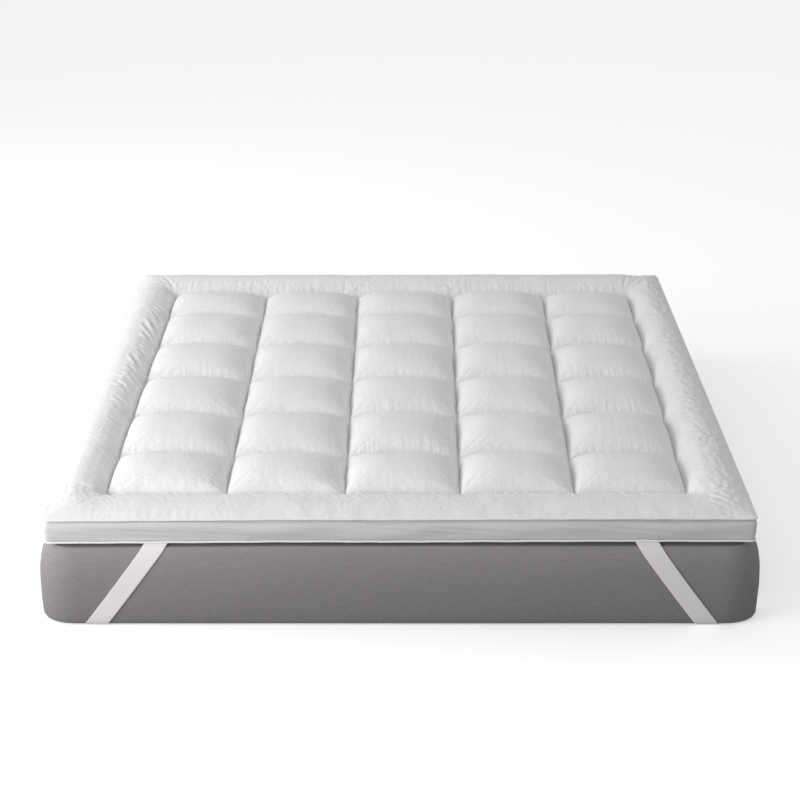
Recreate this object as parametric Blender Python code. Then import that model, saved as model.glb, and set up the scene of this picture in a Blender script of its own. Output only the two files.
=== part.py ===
"""A quilted mattress topper held onto a plain mattress by four corner straps.

The frame is in metres, with +Z up, the foot end at -Y, and the origin on the floor under the middle.
Every piece that touches another keeps GAP to it.
"""

import math

import bmesh
import bpy
import numpy as np

# Driving sizes, in metres.
WIDTH = 1.80  # topper and mattress, side to side
LENGTH = 2.00  # topper and mattress, foot to head
GAP = 0.0005  # left between two pieces that touch

MATTRESS_HEIGHT = 0.230
MATTRESS_CORNER = 0.070  # radius of its corners, seen from above
MATTRESS_BULGE = 0.015  # how far its soft sides stand out at half their height
MATTRESS_TOP_EDGE = 0.020  # radius of its upper edge
MATTRESS_FOOT_EDGE = 0.012  # radius of its lower edge
MATTRESS_FACE_STEPS = 8
MATTRESS_CORNER_STEPS = 8
EDGE_STEPS = 3

TOPPER_CORNER = 0.018  # radius of the topper's corners, seen from above
TOPPER_CORNER_STEPS = 6
TOPPER_BASE = MATTRESS_HEIGHT + GAP
LOWER_SEAM = 0.2355  # height of the seam that holds the lower piping
UPPER_SEAM = 0.2970  # height of the seam that holds the upper piping
QUILT_SEAM = 0.2920  # height of the sewn channels between the boxes
CROSSING_DIP = 0.004  # how much deeper the channels lie where they cross
PIPING_RADIUS = 0.0028
PIPING_BEVEL_STEPS = 2  # eight sides to its section
CLOTH = 0.0015  # thickness of the side band and of the straps

STRAP_WIDTH = 0.048
STRAP_TOP_FROM_CORNER = 0.280
STRAP_FOOT_FROM_CORNER = 0.115
STRAP_UNDER_STEPS = 4
STRAP_SUNK = CLOTH + 2 * GAP  # depth of the strap's groove under the mattress
GROOVE_CLEAR = 0.0003  # left between the strap and its groove
GROOVE_MARGIN = 0.0010  # how much wider and taller than the strap the cutter of its groove is

# Seams between the columns of boxes: x at half length, and how far x leans for each metre of y.
QUILT_COLUMNS = (
    (-0.765, 0.000),
    (-0.453, 0.000),
    (-0.144, 0.000),
    (0.167, 0.012),
    (0.471, 0.018),
    (0.762, 0.018),
)
# Seams between the rows of boxes: y, from the foot end to the head end.
QUILT_ROWS = (-0.822, -0.593, -0.307, -0.020, 0.268, 0.560, 0.795)
# Height of the boxes' crowns above their seams: by column, and the share of it that each row has.
COLUMN_CROWNS = (0.034, 0.032, 0.033, 0.034, 0.031)
ROW_SHARES = (0.92, 1.00, 0.97, 1.02, 0.98, 0.90)
# Height of the border's crown above its seams, on each side and each end of the topper.
BORDER_CROWNS = {"left": 0.030, "right": 0.028, "foot": 0.026, "head": 0.029}
# Where the border's sections lie, as shares of its width from the inner seam to the outer one.
BORDER_SHARES = (0.10, 0.30, 0.55, 0.78, 0.92)
# Where each box's sections lie, as shares of its width.
BOX_SHARES = (0.08, 0.25, 0.50, 0.75, 0.92)
# The topper's edge sags or rises a little: x, and the height there at the foot end and at the head end.
EDGE_SAG = (
    (-0.90, -0.0040, 0.0005),
    (-0.60, -0.0025, 0.0000),
    (-0.30, 0.0000, -0.0010),
    (0.00, -0.0005, -0.0010),
    (0.30, 0.0010, 0.0000),
    (0.60, 0.0020, 0.0005),
    (0.90, 0.0010, 0.0010),
)

# The pad's side, from the upper seam down: outward from the nominal outline, and height.
PAD_SIDE = (
    (-0.0040, UPPER_SEAM),
    (-0.0035, UPPER_SEAM - 0.0040),
    (0.0005, 0.2790),
    (0.0015, 0.2665),
    (0.0005, 0.2530),
    (-0.0035, LOWER_SEAM + 0.0040),
    (-0.0040, LOWER_SEAM),
    (-0.0140, TOPPER_BASE),
)

# Finishes: sRGB colour of 0 to 255, roughness.
FINISHES = {
    "cover_cloth": ((240, 240, 240), 0.90),
    "band_cloth": ((214, 213, 213), 0.75),
    "piping_cloth": ((246, 245, 245), 0.80),
    "elastic": ((222, 218, 218), 0.85),
    "mattress_knit": ((128, 124, 125), 0.90),
}


def start_scene():
    """Empties the scene and adds the empty that holds the whole bed, at the origin."""
    for obj in list(bpy.data.objects):
        bpy.data.objects.remove(obj, do_unlink=True)
    bpy.context.scene.collection.objects.link(bpy.data.objects.new("bed", None))


def finish(name):
    """The material of that name, made when it is first asked for."""
    if name in bpy.data.materials:
        return bpy.data.materials[name]
    colour, roughness = FINISHES[name]
    material = bpy.data.materials.new(name)
    material.use_nodes = True
    shader = material.node_tree.nodes["Principled BSDF"]
    linear = [((c / 255 + 0.055) / 1.055) ** 2.4 for c in colour]
    shader.inputs["Base Color"].default_value = (*linear, 1.0)
    shader.inputs["Roughness"].default_value = roughness
    shader.inputs["Metallic"].default_value = 0.0
    return material


def add_object(name, data, finish_name):
    """An object of this name and finish, under the empty that holds the whole bed."""
    data.materials.append(finish(finish_name))
    obj = bpy.data.objects.new(name, data)
    obj.parent = bpy.data.objects["bed"]
    bpy.context.scene.collection.objects.link(obj)
    return obj


def add_solid(name, shape, finish_name, smooth_degrees=40):
    """Turns a bmesh into an object of this name, with its faces pointing out."""
    bmesh.ops.recalc_face_normals(shape, faces=shape.faces)
    mesh = bpy.data.meshes.new(name)
    shape.to_mesh(mesh)
    shape.free()
    mesh.shade_smooth()
    mesh.set_sharp_from_angle(angle=math.radians(smooth_degrees))
    return add_object(name, mesh, finish_name)


def join_rings(shape, rings, closed):
    """Faces between each ring of vertices and the next, and from the last to the first where closed."""
    pairs = list(zip(rings, rings[1:]))
    if closed:
        pairs.append((rings[-1], rings[0]))
    for lower, upper in pairs:
        for i in range(len(lower)):
            j = (i + 1) % len(lower)
            shape.faces.new((lower[i], lower[j], upper[j], upper[i]))


def rounded_outline(outward, radius, steps, side_x=(), side_y=()):
    """Points (x, y) round the nominal plan, counter-clockwise, moved outward.

    side_x and side_y are the places of extra points along the ends and the sides.
    """
    points = []
    half_x, half_y = WIDTH / 2, LENGTH / 2
    corners = ((1, -1, -90), (1, 1, 0), (-1, 1, 90), (-1, -1, 180))
    for sign_x, sign_y, start in corners:
        for step in range(steps + 1):
            angle = math.radians(start + 90 * step / steps)
            nx, ny = math.cos(angle), math.sin(angle)
            x = sign_x * (half_x - radius) + (radius + outward) * nx
            y = sign_y * (half_y - radius) + (radius + outward) * ny
            points.append((x, y))
        if sign_x == 1 and sign_y == -1:
            points += [(half_x + outward, y) for y in sorted(side_y)]
        elif sign_x == 1:
            points += [(x, half_y + outward) for x in sorted(side_x, reverse=True)]
        elif sign_y == 1:
            points += [(-half_x - outward, y) for y in sorted(side_y, reverse=True)]
        else:
            points += [(x, -half_y - outward) for x in sorted(side_x)]
    return points


def edge_sag(x, y):
    """How far the topper's edge lies above or below its nominal height here."""
    places, at_foot, at_head = zip(*EDGE_SAG)
    share = 0.5 + y / LENGTH
    foot = np.interp(x, places, at_foot)
    head = np.interp(x, places, at_head)
    return float(foot + (head - foot) * share)


def on_rim(x, y, outward):
    """The place on the topper's rounded outline that is nearest to a place beside it, and the way out."""
    sign_x, sign_y = math.copysign(1, x), math.copysign(1, y)
    centre_x = min(abs(x), WIDTH / 2 - TOPPER_CORNER)
    centre_y = min(abs(y), LENGTH / 2 - TOPPER_CORNER)
    away = math.hypot(abs(x) - centre_x, abs(y) - centre_y)
    nx, ny = (abs(x) - centre_x) / away, (abs(y) - centre_y) / away
    radius = TOPPER_CORNER + outward
    place = (sign_x * (centre_x + radius * nx), sign_y * (centre_y + radius * ny))
    return place, (sign_x * nx, sign_y * ny)


def puff(share):
    """Height of a filled cross-section at this share of its width: steep at its seams, flat on top."""
    return math.sqrt(max(0.0, 4 * share * (1 - share)))


def column_x(column, y):
    """Where a seam between columns lies at this y."""
    x, lean = QUILT_COLUMNS[column]
    return x + lean * y


def stations(seam_count):
    """Places across the pad as (from seam, to seam, share), outer edge to outer edge.

    Seam -1 is the nearer outer edge, and the seam after the last one is the far outer edge.
    """
    last = seam_count - 1
    found = [(-1, 0, 0.0)]
    found += [(-1, 0, 1 - share) for share in reversed(BORDER_SHARES)]
    for seam in range(last):
        found += [(seam, seam + 1, share) for share in (0.0, *BOX_SHARES)]
    found.append((last - 1, last, 1.0))
    found += [(last, last + 1, share) for share in BORDER_SHARES]
    found.append((last, last + 1, 1.0))
    return found


def place_between(station, seam_places, half):
    """Where a station lies, from the places of the seams and the outer edge's half width."""
    first, second, share = station
    known = {-1: -half, len(seam_places): half}
    known.update(enumerate(seam_places))
    return known[first] + (known[second] - known[first]) * share


def border_share(station, seam_count):
    """0 inside the quilted panel, and up to 1 from its edge to the outer seam."""
    first, second, share = station
    if first == -1:
        return 1 - share
    if second == seam_count:
        return share
    return 0.0


def pad_height(station_x, station_y, x, y):
    """Height of the pad's top at a pair of stations."""
    across = border_share(station_x, len(QUILT_COLUMNS))
    along = border_share(station_y, len(QUILT_ROWS))
    if across > 0 or along > 0:
        outer = max(across, along)
        from_panel = min(1.0, math.hypot(across, along))
        share = from_panel / (from_panel + (1 - outer))
        base = QUILT_SEAM + (UPPER_SEAM + edge_sag(x, y) - QUILT_SEAM) * outer
        side_crown = BORDER_CROWNS["left" if x < 0 else "right"]
        end_crown = BORDER_CROWNS["foot" if y < 0 else "head"]
        crown = (side_crown * across + end_crown * along) / (across + along)
        return base + crown * puff(share)
    column, _, share_x = station_x
    row, _, share_y = station_y
    on_crossing = share_x in (0.0, 1.0) and share_y in (0.0, 1.0)
    crown = COLUMN_CROWNS[column] * ROW_SHARES[row] * puff(share_x) * puff(share_y)
    return QUILT_SEAM + crown - (CROSSING_DIP if on_crossing else 0.0)


def build_topper_pad():
    """The quilted pad: its top as one grid of crowns and channels, its drawn-in side and its flat underside."""
    outward = PAD_SIDE[0][0]
    half_x, half_y = WIDTH / 2 + outward, LENGTH / 2 + outward
    across = stations(len(QUILT_COLUMNS))
    along = stations(len(QUILT_ROWS))
    last_x, last_y = len(across) - 1, len(along) - 1

    shape = bmesh.new()
    grid = []
    for j, station_y in enumerate(along):
        y = place_between(station_y, QUILT_ROWS, half_y)
        seams = [column_x(column, y) for column in range(len(QUILT_COLUMNS))]
        line = []
        for i, station_x in enumerate(across):
            x = place_between(station_x, seams, half_x)
            z = pad_height(station_x, station_y, x, y)
            if i in (0, last_x) or j in (0, last_y):
                (x, y), _ = on_rim(x, y, outward)
            line.append(shape.verts.new((x, y, z)))
        grid.append(line)
    for low, high in zip(grid, grid[1:]):
        for i in range(last_x):
            shape.faces.new((low[i], low[i + 1], high[i + 1], high[i]))

    rim = [grid[0][i] for i in range(last_x)]
    rim += [grid[j][last_x] for j in range(last_y)]
    rim += [grid[last_y][i] for i in range(last_x, 0, -1)]
    rim += [grid[j][0] for j in range(last_y, 0, -1)]
    rings = [rim]
    for side_outward, height in PAD_SIDE[1:]:
        ring = []
        for vertex in rim:
            x, y, _ = vertex.co
            _, (nx, ny) = on_rim(x, y, outward)
            move = side_outward - outward
            flat = height == TOPPER_BASE
            z = height + (0.0 if flat else edge_sag(x, y))
            ring.append(shape.verts.new((x + nx * move, y + ny * move, z)))
        rings.append(ring)
    join_rings(shape, rings, closed=False)
    shape.faces.new(rings[-1])
    return add_solid("topper_pad", shape, "cover_cloth")


def edge_ring_places():
    """Extra points on the topper's ring pieces: at the sag's stations, and along the sides."""
    along_ends = [x for x, _, _ in EDGE_SAG[1:-1]]
    along_sides = [LENGTH * share for share in (-0.25, 0.0, 0.25)]
    return along_ends, along_sides


def build_gusset():
    """The side band: a thin ring that follows the pad's side between the two pipings."""
    ends, sides = edge_ring_places()
    clear = PIPING_RADIUS + GAP
    upper, lower = UPPER_SEAM - clear, LOWER_SEAM + clear
    outward_of, height_of = zip(*PAD_SIDE[:-1])
    heights = np.array([upper, *[z for z in height_of if lower + clear < z < upper - clear], lower])
    outwards = np.interp(-heights, -np.array(height_of), outward_of)
    section = [(out + GAP + CLOTH, z) for out, z in zip(outwards, heights)]
    section += [(out - CLOTH, z) for out, z in reversed(section)]
    shape = bmesh.new()
    rings = []
    for outward, height in section:
        outline = rounded_outline(outward, TOPPER_CORNER, TOPPER_CORNER_STEPS, ends, sides)
        rings.append([shape.verts.new((x, y, height + edge_sag(x, y))) for x, y in outline])
    join_rings(shape, rings, closed=True)
    return add_solid("gusset", shape, "band_cloth")


def build_piping(name, height):
    """A covered cord round the topper, centred on the nominal outline."""
    ends, sides = edge_ring_places()
    outline = rounded_outline(0.0, TOPPER_CORNER, TOPPER_CORNER_STEPS, ends, sides)
    curve = bpy.data.curves.new(name, "CURVE")
    curve.dimensions = "3D"
    curve.bevel_depth = PIPING_RADIUS
    curve.bevel_resolution = PIPING_BEVEL_STEPS
    route = curve.splines.new("POLY")
    route.points.add(len(outline) - 1)
    for point, (x, y) in zip(route.points, outline):
        point.co = (x, y, height + edge_sag(x, y), 1.0)
    route.use_cyclic_u = True
    return add_object(name, curve, "piping_cloth")


def mattress_side():
    """The mattress's side from its top to its underside, as (outward, height, normal out, normal up)."""
    section = []
    top_z = MATTRESS_HEIGHT - MATTRESS_TOP_EDGE
    for step in range(EDGE_STEPS + 1):
        angle = math.radians(90 - 90 * step / EDGE_STEPS)
        out = MATTRESS_TOP_EDGE * (math.cos(angle) - 1)
        up = top_z + MATTRESS_TOP_EDGE * math.sin(angle)
        section.append((out, up, math.cos(angle), math.sin(angle)))
    face = top_z - MATTRESS_FOOT_EDGE
    for step in range(1, MATTRESS_FACE_STEPS):
        share = step / MATTRESS_FACE_STEPS
        out = MATTRESS_BULGE * math.sin(math.pi * share)
        slope = MATTRESS_BULGE * math.pi * math.cos(math.pi * share) / face
        length = math.hypot(1.0, slope)
        section.append((out, top_z - face * share, 1 / length, slope / length))
    for step in range(EDGE_STEPS + 1):
        angle = math.radians(-90 * step / EDGE_STEPS)
        out = MATTRESS_FOOT_EDGE * (math.cos(angle) - 1)
        up = MATTRESS_FOOT_EDGE * (1 + math.sin(angle))
        section.append((out, up, math.cos(angle), math.sin(angle)))
    return section


def build_mattress():
    """The mattress: its rounded outline at each height of its side, closed by a flat top and underside."""
    shape = bmesh.new()
    rings = []
    for outward, height, _, _ in mattress_side():
        outline = rounded_outline(outward, MATTRESS_CORNER, MATTRESS_CORNER_STEPS)
        rings.append([shape.verts.new((x, y, height)) for x, y in outline])
    join_rings(shape, rings, closed=False)
    shape.faces.new(rings[0])
    shape.faces.new(rings[-1])
    return add_solid("mattress", shape, "mattress_knit")


def strap_leg(top, inner, outer):
    """A strap's leg down the mattress, as (distance from the corner, [(outward, height) of both faces]).

    inner and outer say how far the strap's two faces stand off the mattress. Round the lower edge the leg
    sinks into its groove, so that under the mattress the whole strap lies just above the floor.
    """
    drift = STRAP_TOP_FROM_CORNER - STRAP_FOOT_FROM_CORNER
    side = [row for row in mattress_side() if row[1] <= MATTRESS_HEIGHT - MATTRESS_TOP_EDGE]
    side.insert(0, (side[0][0], top, 1.0, 0.0))
    leg = []
    for out, up, normal_out, normal_up in side:
        sunk = STRAP_SUNK * max(0.0, -normal_up) if up < MATTRESS_FOOT_EDGE else 0.0
        offs = (inner - sunk, outer - sunk)
        faces = [(out + normal_out * off, up + normal_up * off) for off in offs]
        leg.append((STRAP_FOOT_FROM_CORNER + drift * up / MATTRESS_HEIGHT, faces))
    return leg


def strap_rungs(end_top, side_top, inner, outer, margin):
    """Rungs across a strap from the end seam to the side seam, at the corner where x and y are positive.

    Each rung is an array of [strap edge, face, coordinate]: first the edge far from the corner, and the
    inner face first. The rungs on the mattress's end and side lie level, so the strap folds along its edge.
    """
    half_x, half_y = WIDTH / 2, LENGTH / 2
    drift = STRAP_TOP_FROM_CORNER - STRAP_FOOT_FROM_CORNER
    half_rung = STRAP_WIDTH / math.cos(math.atan2(drift, MATTRESS_HEIGHT)) / 2 + margin
    on_end, on_side = [], []
    for from_corner, faces in strap_leg(end_top, inner, outer):
        edges = (from_corner + half_rung, from_corner - half_rung)
        on_end.append([[(half_x - away, half_y + out, up) for out, up in faces] for away in edges])
    for from_corner, faces in strap_leg(side_top, inner, outer):
        edges = (from_corner + half_rung, from_corner - half_rung)
        on_side.append([[(half_x + out, half_y - away, up) for out, up in faces] for away in edges])
    on_end, on_side = np.array(on_end), np.array(on_side)[::-1]
    shares = [step / STRAP_UNDER_STEPS for step in range(1, STRAP_UNDER_STEPS)]
    under = [on_end[-1] * (1 - share) + on_side[0] * share for share in shares]
    return [*on_end, *under, *on_side]


def build_strap(name, sign_x, sign_y, margin=0.0):
    """A strap at one corner. With a margin it is the cutter for the strap's groove."""
    far_x, far_y = sign_x * WIDTH / 2, sign_y * LENGTH / 2
    under_piping = LOWER_SEAM - PIPING_RADIUS - GAP
    end_top = under_piping + edge_sag(far_x - sign_x * STRAP_TOP_FROM_CORNER, far_y)
    side_top = under_piping + edge_sag(far_x, far_y - sign_y * STRAP_TOP_FROM_CORNER)
    inner = GAP - GROOVE_CLEAR if margin else GAP
    shape = bmesh.new()
    rings = []
    for rung in strap_rungs(end_top, side_top, inner, GAP + CLOTH + margin, margin):
        (inner_far, outer_far), (inner_near, outer_near) = rung * (sign_x, sign_y, 1)
        corners = (inner_far, outer_far, outer_near, inner_near)
        rings.append([shape.verts.new(corner) for corner in corners])
    join_rings(shape, rings, closed=False)
    shape.faces.new(rings[0])
    shape.faces.new(rings[-1])
    return add_solid(name, shape, "elastic", smooth_degrees=60)


def cut_groove(mattress, cutter):
    """Cuts a strap's groove out of the mattress's lower edge and underside."""
    cutter.hide_render = True
    cutter.display_type = "WIRE"
    groove = mattress.modifiers.new(f"groove for {cutter.name}", "BOOLEAN")
    groove.operation = "DIFFERENCE"
    groove.solver = "MANIFOLD"
    groove.object = cutter


def main():
    start_scene()
    build_topper_pad()
    build_gusset()
    build_piping("piping_top", UPPER_SEAM)
    build_piping("piping_bottom", LOWER_SEAM)
    mattress = build_mattress()
    for end, sign_y in (("front", -1), ("back", 1)):
        for side, sign_x in (("left", -1), ("right", 1)):
            build_strap(f"strap_{end}_{side}", sign_x, sign_y)
            cutter = build_strap(f"groove_{end}_{side}", sign_x, sign_y, GROOVE_MARGIN)
            cut_groove(mattress, cutter)


main()
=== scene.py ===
"""Looks of a quilted mattress topper that four elastic straps hold over a plain mattress.

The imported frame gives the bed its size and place: +Z is up, the foot end is at -Y and the origin lies on
the floor under the middle. Each class is one sub-assembly, which builds its meshes and then dresses them.
Lengths are in metres unless a name says otherwise, and colours are sRGB hex values.
"""

import logging
import math
from dataclasses import dataclass
from enum import Enum
from typing import Sequence

import bpy
import numpy as np
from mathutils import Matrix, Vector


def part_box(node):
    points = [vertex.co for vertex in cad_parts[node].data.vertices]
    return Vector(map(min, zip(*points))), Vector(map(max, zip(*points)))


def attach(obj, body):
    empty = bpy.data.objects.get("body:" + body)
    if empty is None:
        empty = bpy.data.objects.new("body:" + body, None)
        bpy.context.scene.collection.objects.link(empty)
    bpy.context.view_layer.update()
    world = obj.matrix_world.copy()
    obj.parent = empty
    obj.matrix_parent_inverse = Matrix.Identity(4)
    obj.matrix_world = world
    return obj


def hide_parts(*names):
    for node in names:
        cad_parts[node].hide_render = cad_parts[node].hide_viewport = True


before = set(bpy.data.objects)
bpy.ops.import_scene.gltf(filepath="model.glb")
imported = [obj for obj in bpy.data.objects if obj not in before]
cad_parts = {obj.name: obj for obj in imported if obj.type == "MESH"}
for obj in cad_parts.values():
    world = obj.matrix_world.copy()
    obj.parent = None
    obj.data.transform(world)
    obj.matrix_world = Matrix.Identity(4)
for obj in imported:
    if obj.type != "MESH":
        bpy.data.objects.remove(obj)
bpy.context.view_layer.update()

log = logging.getLogger("topper")

BODY = "root"  # the one body, which every piece rides on
MM = 0.001
WAVE_PERIOD = math.pi / 10  # length of one band of Blender's wave texture at scale 1
NOISE_TABLE = 64  # cells each way before the soft noise repeats
RING_CENTRE = 40  # where the middle of a ring lies in the soft noise
TINY = 1e-12  # keeps what is divided by above zero


class Slot(Enum):
    """The record's material slots."""

    COVER = "cover_cloth"
    BAND = "band_cloth"
    PIPING = "piping_cloth"
    ELASTIC = "elastic"
    TICKING = "mattress_knit"


class Side(Enum):
    """The topper's four sides, as seen from its foot end."""

    LEFT = "left"
    RIGHT = "right"
    FOOT = "foot"
    HEAD = "head"


# ---------------------------------------------------------------------------------------------------------
# Small tools
# ---------------------------------------------------------------------------------------------------------


def linear(colour: str) -> tuple[float, float, float, float]:
    """Turns an sRGB hex colour such as "F2F1F0" into linear red, green, blue and alpha."""
    parts = [int(colour[i:i + 2], 16) / 255 for i in (0, 2, 4)]
    return (*(c / 12.92 if c <= 0.04045 else ((c + 0.055) / 1.055) ** 2.4 for c in parts), 1.0)


def add_node(tree: bpy.types.NodeTree, kind: str, inputs: dict | None = None, **settings) -> bpy.types.Node:
    """Adds a shader node with its settings and links.

    Args:
        tree: The node tree that the node goes into.
        kind: The node's type, such as "ShaderNodeTexNoise".
        inputs: For each input's name or number, a value to set, or an output to link from.
        **settings: The node's own properties.

    Returns:
        The new node.
    """
    node = tree.nodes.new(kind)
    for name, value in settings.items():
        setattr(node, name, value)
    for socket, value in (inputs or {}).items():
        if isinstance(value, bpy.types.NodeSocket):
            tree.links.new(value, node.inputs[socket])
        else:
            node.inputs[socket].default_value = value
    return node


def deselect_all() -> None:
    """Leaves nothing selected, so that an operator acts only on what is added next."""
    for obj in bpy.context.selected_objects:
        obj.select_set(False)


def add_grid(name: str, places: np.ndarray) -> bpy.types.Object:
    """Adds a grid primitive and lays it out.

    Args:
        name: The new object's name.
        places: Where each vertex lies, as [row, column, xyz].

    Returns:
        The new object, alone selected and active.
    """
    deselect_all()
    rows, columns = places.shape[:2]
    bpy.ops.mesh.primitive_grid_add(x_subdivisions=columns - 1, y_subdivisions=rows - 1, size=1)
    obj = bpy.context.object
    obj.name = obj.data.name = name
    move_vertices(obj, places)
    obj.data.update()
    return obj


def move_vertices(obj: bpy.types.Object, places: np.ndarray) -> None:
    """Puts the piece's vertices at these places, in their order."""
    obj.data.vertices.foreach_set("co", places.astype(np.float32).ravel())


def lay_uv(obj: bpy.types.Object, places: np.ndarray) -> None:
    """Writes a place on the flat cloth, in metres, into the piece's UV map.

    Args:
        obj: The piece, whose vertices are still in the order of the grid.
        places: The place of each vertex on the flat cloth, as [row, column, uv].
    """
    mesh = obj.data
    corner_vertices = np.zeros(len(mesh.loops), np.int32)
    mesh.loops.foreach_get("vertex_index", corner_vertices)
    layer = mesh.uv_layers.active or mesh.uv_layers.new(name="flat")
    layer.name = "flat"
    layer.data.foreach_set("uv", places.reshape(-1, 2)[corner_vertices].astype(np.float32).ravel())


def edit(obj: bpy.types.Object, selected: np.ndarray, kind: str) -> None:
    """Opens a piece in edit mode with a selection.

    Args:
        obj: The piece.
        selected: One truth value for each vertex, edge or face.
        kind: "VERT", "EDGE" or "FACE", which says what selected counts.
    """
    bpy.context.view_layer.objects.active = obj
    bpy.ops.object.mode_set(mode="EDIT")
    bpy.ops.mesh.select_mode(type=kind)
    bpy.ops.mesh.select_all(action="DESELECT")
    bpy.ops.object.mode_set(mode="OBJECT")
    items = {"VERT": obj.data.vertices, "EDGE": obj.data.edges, "FACE": obj.data.polygons}[kind]
    items.foreach_set("select", selected)
    bpy.ops.object.mode_set(mode="EDIT")


def open_edges(obj: bpy.types.Object) -> np.ndarray:
    """One truth value for each edge: whether it has only one face."""
    mesh = obj.data
    edges = np.zeros(len(mesh.loops), np.int32)
    mesh.loops.foreach_get("edge_index", edges)
    return np.bincount(edges, minlength=len(mesh.edges)) == 1


def vertices_of(obj: bpy.types.Object) -> np.ndarray:
    """The piece's vertices, as [vertex, xyz]."""
    places = np.zeros(len(obj.data.vertices) * 3, np.float32)
    obj.data.vertices.foreach_get("co", places)
    return places.reshape(-1, 3).astype(float)


def selected_vertices(obj: bpy.types.Object) -> np.ndarray:
    """One truth value for each vertex: whether it is selected."""
    chosen = np.zeros(len(obj.data.vertices), bool)
    obj.data.vertices.foreach_get("select", chosen)
    return chosen


def thicken(obj: bpy.types.Object, cloth: float) -> None:
    """Gives the active piece, a single sheet, its cloth's thickness on the inside."""
    bpy.ops.object.modifier_add(type="SOLIDIFY")
    solidify = obj.modifiers[-1]
    solidify.thickness = cloth
    solidify.offset = -1.0
    bpy.ops.object.modifier_apply(modifier=solidify.name)


def close_ring(obj: bpy.types.Object) -> None:
    """Joins the two ends of a grid that was laid out as a ring."""
    edit(obj, np.ones(len(obj.data.vertices), bool), "VERT")
    bpy.ops.mesh.remove_doubles(threshold=0.02 * MM)
    bpy.ops.object.mode_set(mode="OBJECT")


def smooth(obj: bpy.types.Object, degrees: float) -> None:
    """Shades a piece smooth, with a sharp edge wherever it turns by more than this angle."""
    deselect_all()
    obj.select_set(True)
    bpy.context.view_layer.objects.active = obj
    bpy.ops.object.shade_smooth_by_angle(angle=math.radians(degrees))


def mount(obj: bpy.types.Object, finish: "Finish", slot: Slot, *nodes: str) -> None:
    """Gives a finished piece its material and ties it to the frame.

    Args:
        obj: The finished piece.
        finish: What it is made of.
        slot: The record's material slot that its finish stands for. It is not used.
        *nodes: The frame's nodes that it stands for.
    """
    obj.data.materials.clear()
    obj.data.materials.append(finish.material())
    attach(obj, BODY)
    if nodes:
        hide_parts(*nodes)
    log.info("%s: %d faces", obj.name, len(obj.data.polygons))


# ---------------------------------------------------------------------------------------------------------
# Shapes that several pieces share
# ---------------------------------------------------------------------------------------------------------


def ripple(along: np.ndarray, length: float, pitch: float, seed: int) -> tuple[np.ndarray, np.ndarray]:
    """An uneven row of small waves, as gathered cloth has beside a seam.

    Args:
        along: Distances along the seam.
        length: The seam's length.
        pitch: Usual distance from the top of one wave to the next.
        seed: Picks one row of waves.

    Returns:
        The height of the waves, from -1 to 1, and how far each wave reaches, about 1.
    """
    chance = np.random.default_rng(seed)
    count = max(4, int(2.2 * length / pitch) + 4)
    knots = np.cumsum(chance.uniform(0.30, 0.75, count)) * pitch - pitch
    heights = chance.uniform(0.15, 1.0, count)
    reaches = chance.uniform(0.45, 1.7, count)
    phase = np.interp(along, knots, np.arange(count))
    return np.cos(math.pi * phase) * np.interp(along, knots, heights), np.interp(along, knots, reaches)


def soft_noise(x: np.ndarray, y: np.ndarray, cell: float, seed: int) -> np.ndarray:
    """Smooth lumps of about this size, from -1 to 1, at these places.

    Args:
        x: Each place's x.
        y: Each place's y.
        cell: The lumps' usual size.
        seed: Picks one set of lumps.

    Returns:
        The height of the lumps at each place.
    """
    chance = np.random.default_rng(seed)
    table = chance.uniform(-1, 1, (NOISE_TABLE, NOISE_TABLE))
    x, y = x / cell, y / cell
    column, row = np.floor(x).astype(int), np.floor(y).astype(int)
    fx, fy = x - column, y - row
    fx, fy = fx * fx * (3 - 2 * fx), fy * fy * (3 - 2 * fy)

    def corner(right: int, up: int) -> np.ndarray:
        """The table's value at one corner of each place's cell."""
        return table[(row + up) % NOISE_TABLE, (column + right) % NOISE_TABLE]

    low = corner(0, 0) * (1 - fx) + corner(1, 0) * fx
    high = corner(0, 1) * (1 - fx) + corner(1, 1) * fx
    return low * (1 - fy) + high * fy


def ring_noise(turn: np.ndarray, wide: float, up: np.ndarray | float, cell: float, seed: int) -> np.ndarray:
    """Smooth lumps round a ring that meet where it closes, from -1 to 1.

    Args:
        turn: Each place's angle round the ring.
        wide: The ring's radius in the noise.
        up: How far each place lies up the ring's side, in the noise.
        cell: The lumps' usual size in the noise.
        seed: Picks one set of lumps.

    Returns:
        The height of the lumps at each place.
    """
    x, y = wide * np.cos(turn) + RING_CENTRE, wide * np.sin(turn) + RING_CENTRE + up
    return soft_noise(x, y, cell, seed)


def way_along(points: np.ndarray) -> np.ndarray:
    """How far each point lies from the first one, along the line through them."""
    return np.concatenate([[0], np.cumsum(np.linalg.norm(np.diff(points, axis=0), axis=1))])


def ridges(x: np.ndarray, y: np.ndarray, across: float, along: float, seed: int) -> np.ndarray:
    """Crumpled cloth: sharp ridges of about this size each way, 1 high with dips between them.

    Args:
        x: Each place's x.
        y: Each place's y.
        across: The ridges' usual width.
        along: Their usual length.
        seed: Picks one set of ridges. A second, finer set takes the next seed.

    Returns:
        The height of the ridges at each place.
    """
    low = soft_noise(x / across, y / along, 1.0, seed)
    high = soft_noise(x / across * 1.9 + 7.3, y / along * 1.9 + 3.1, 1.0, seed + 1)
    return 1 - 2.2 * np.abs(low) - 1.1 * np.abs(high) * np.clip(1 - np.abs(low), 0, 1)


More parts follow.
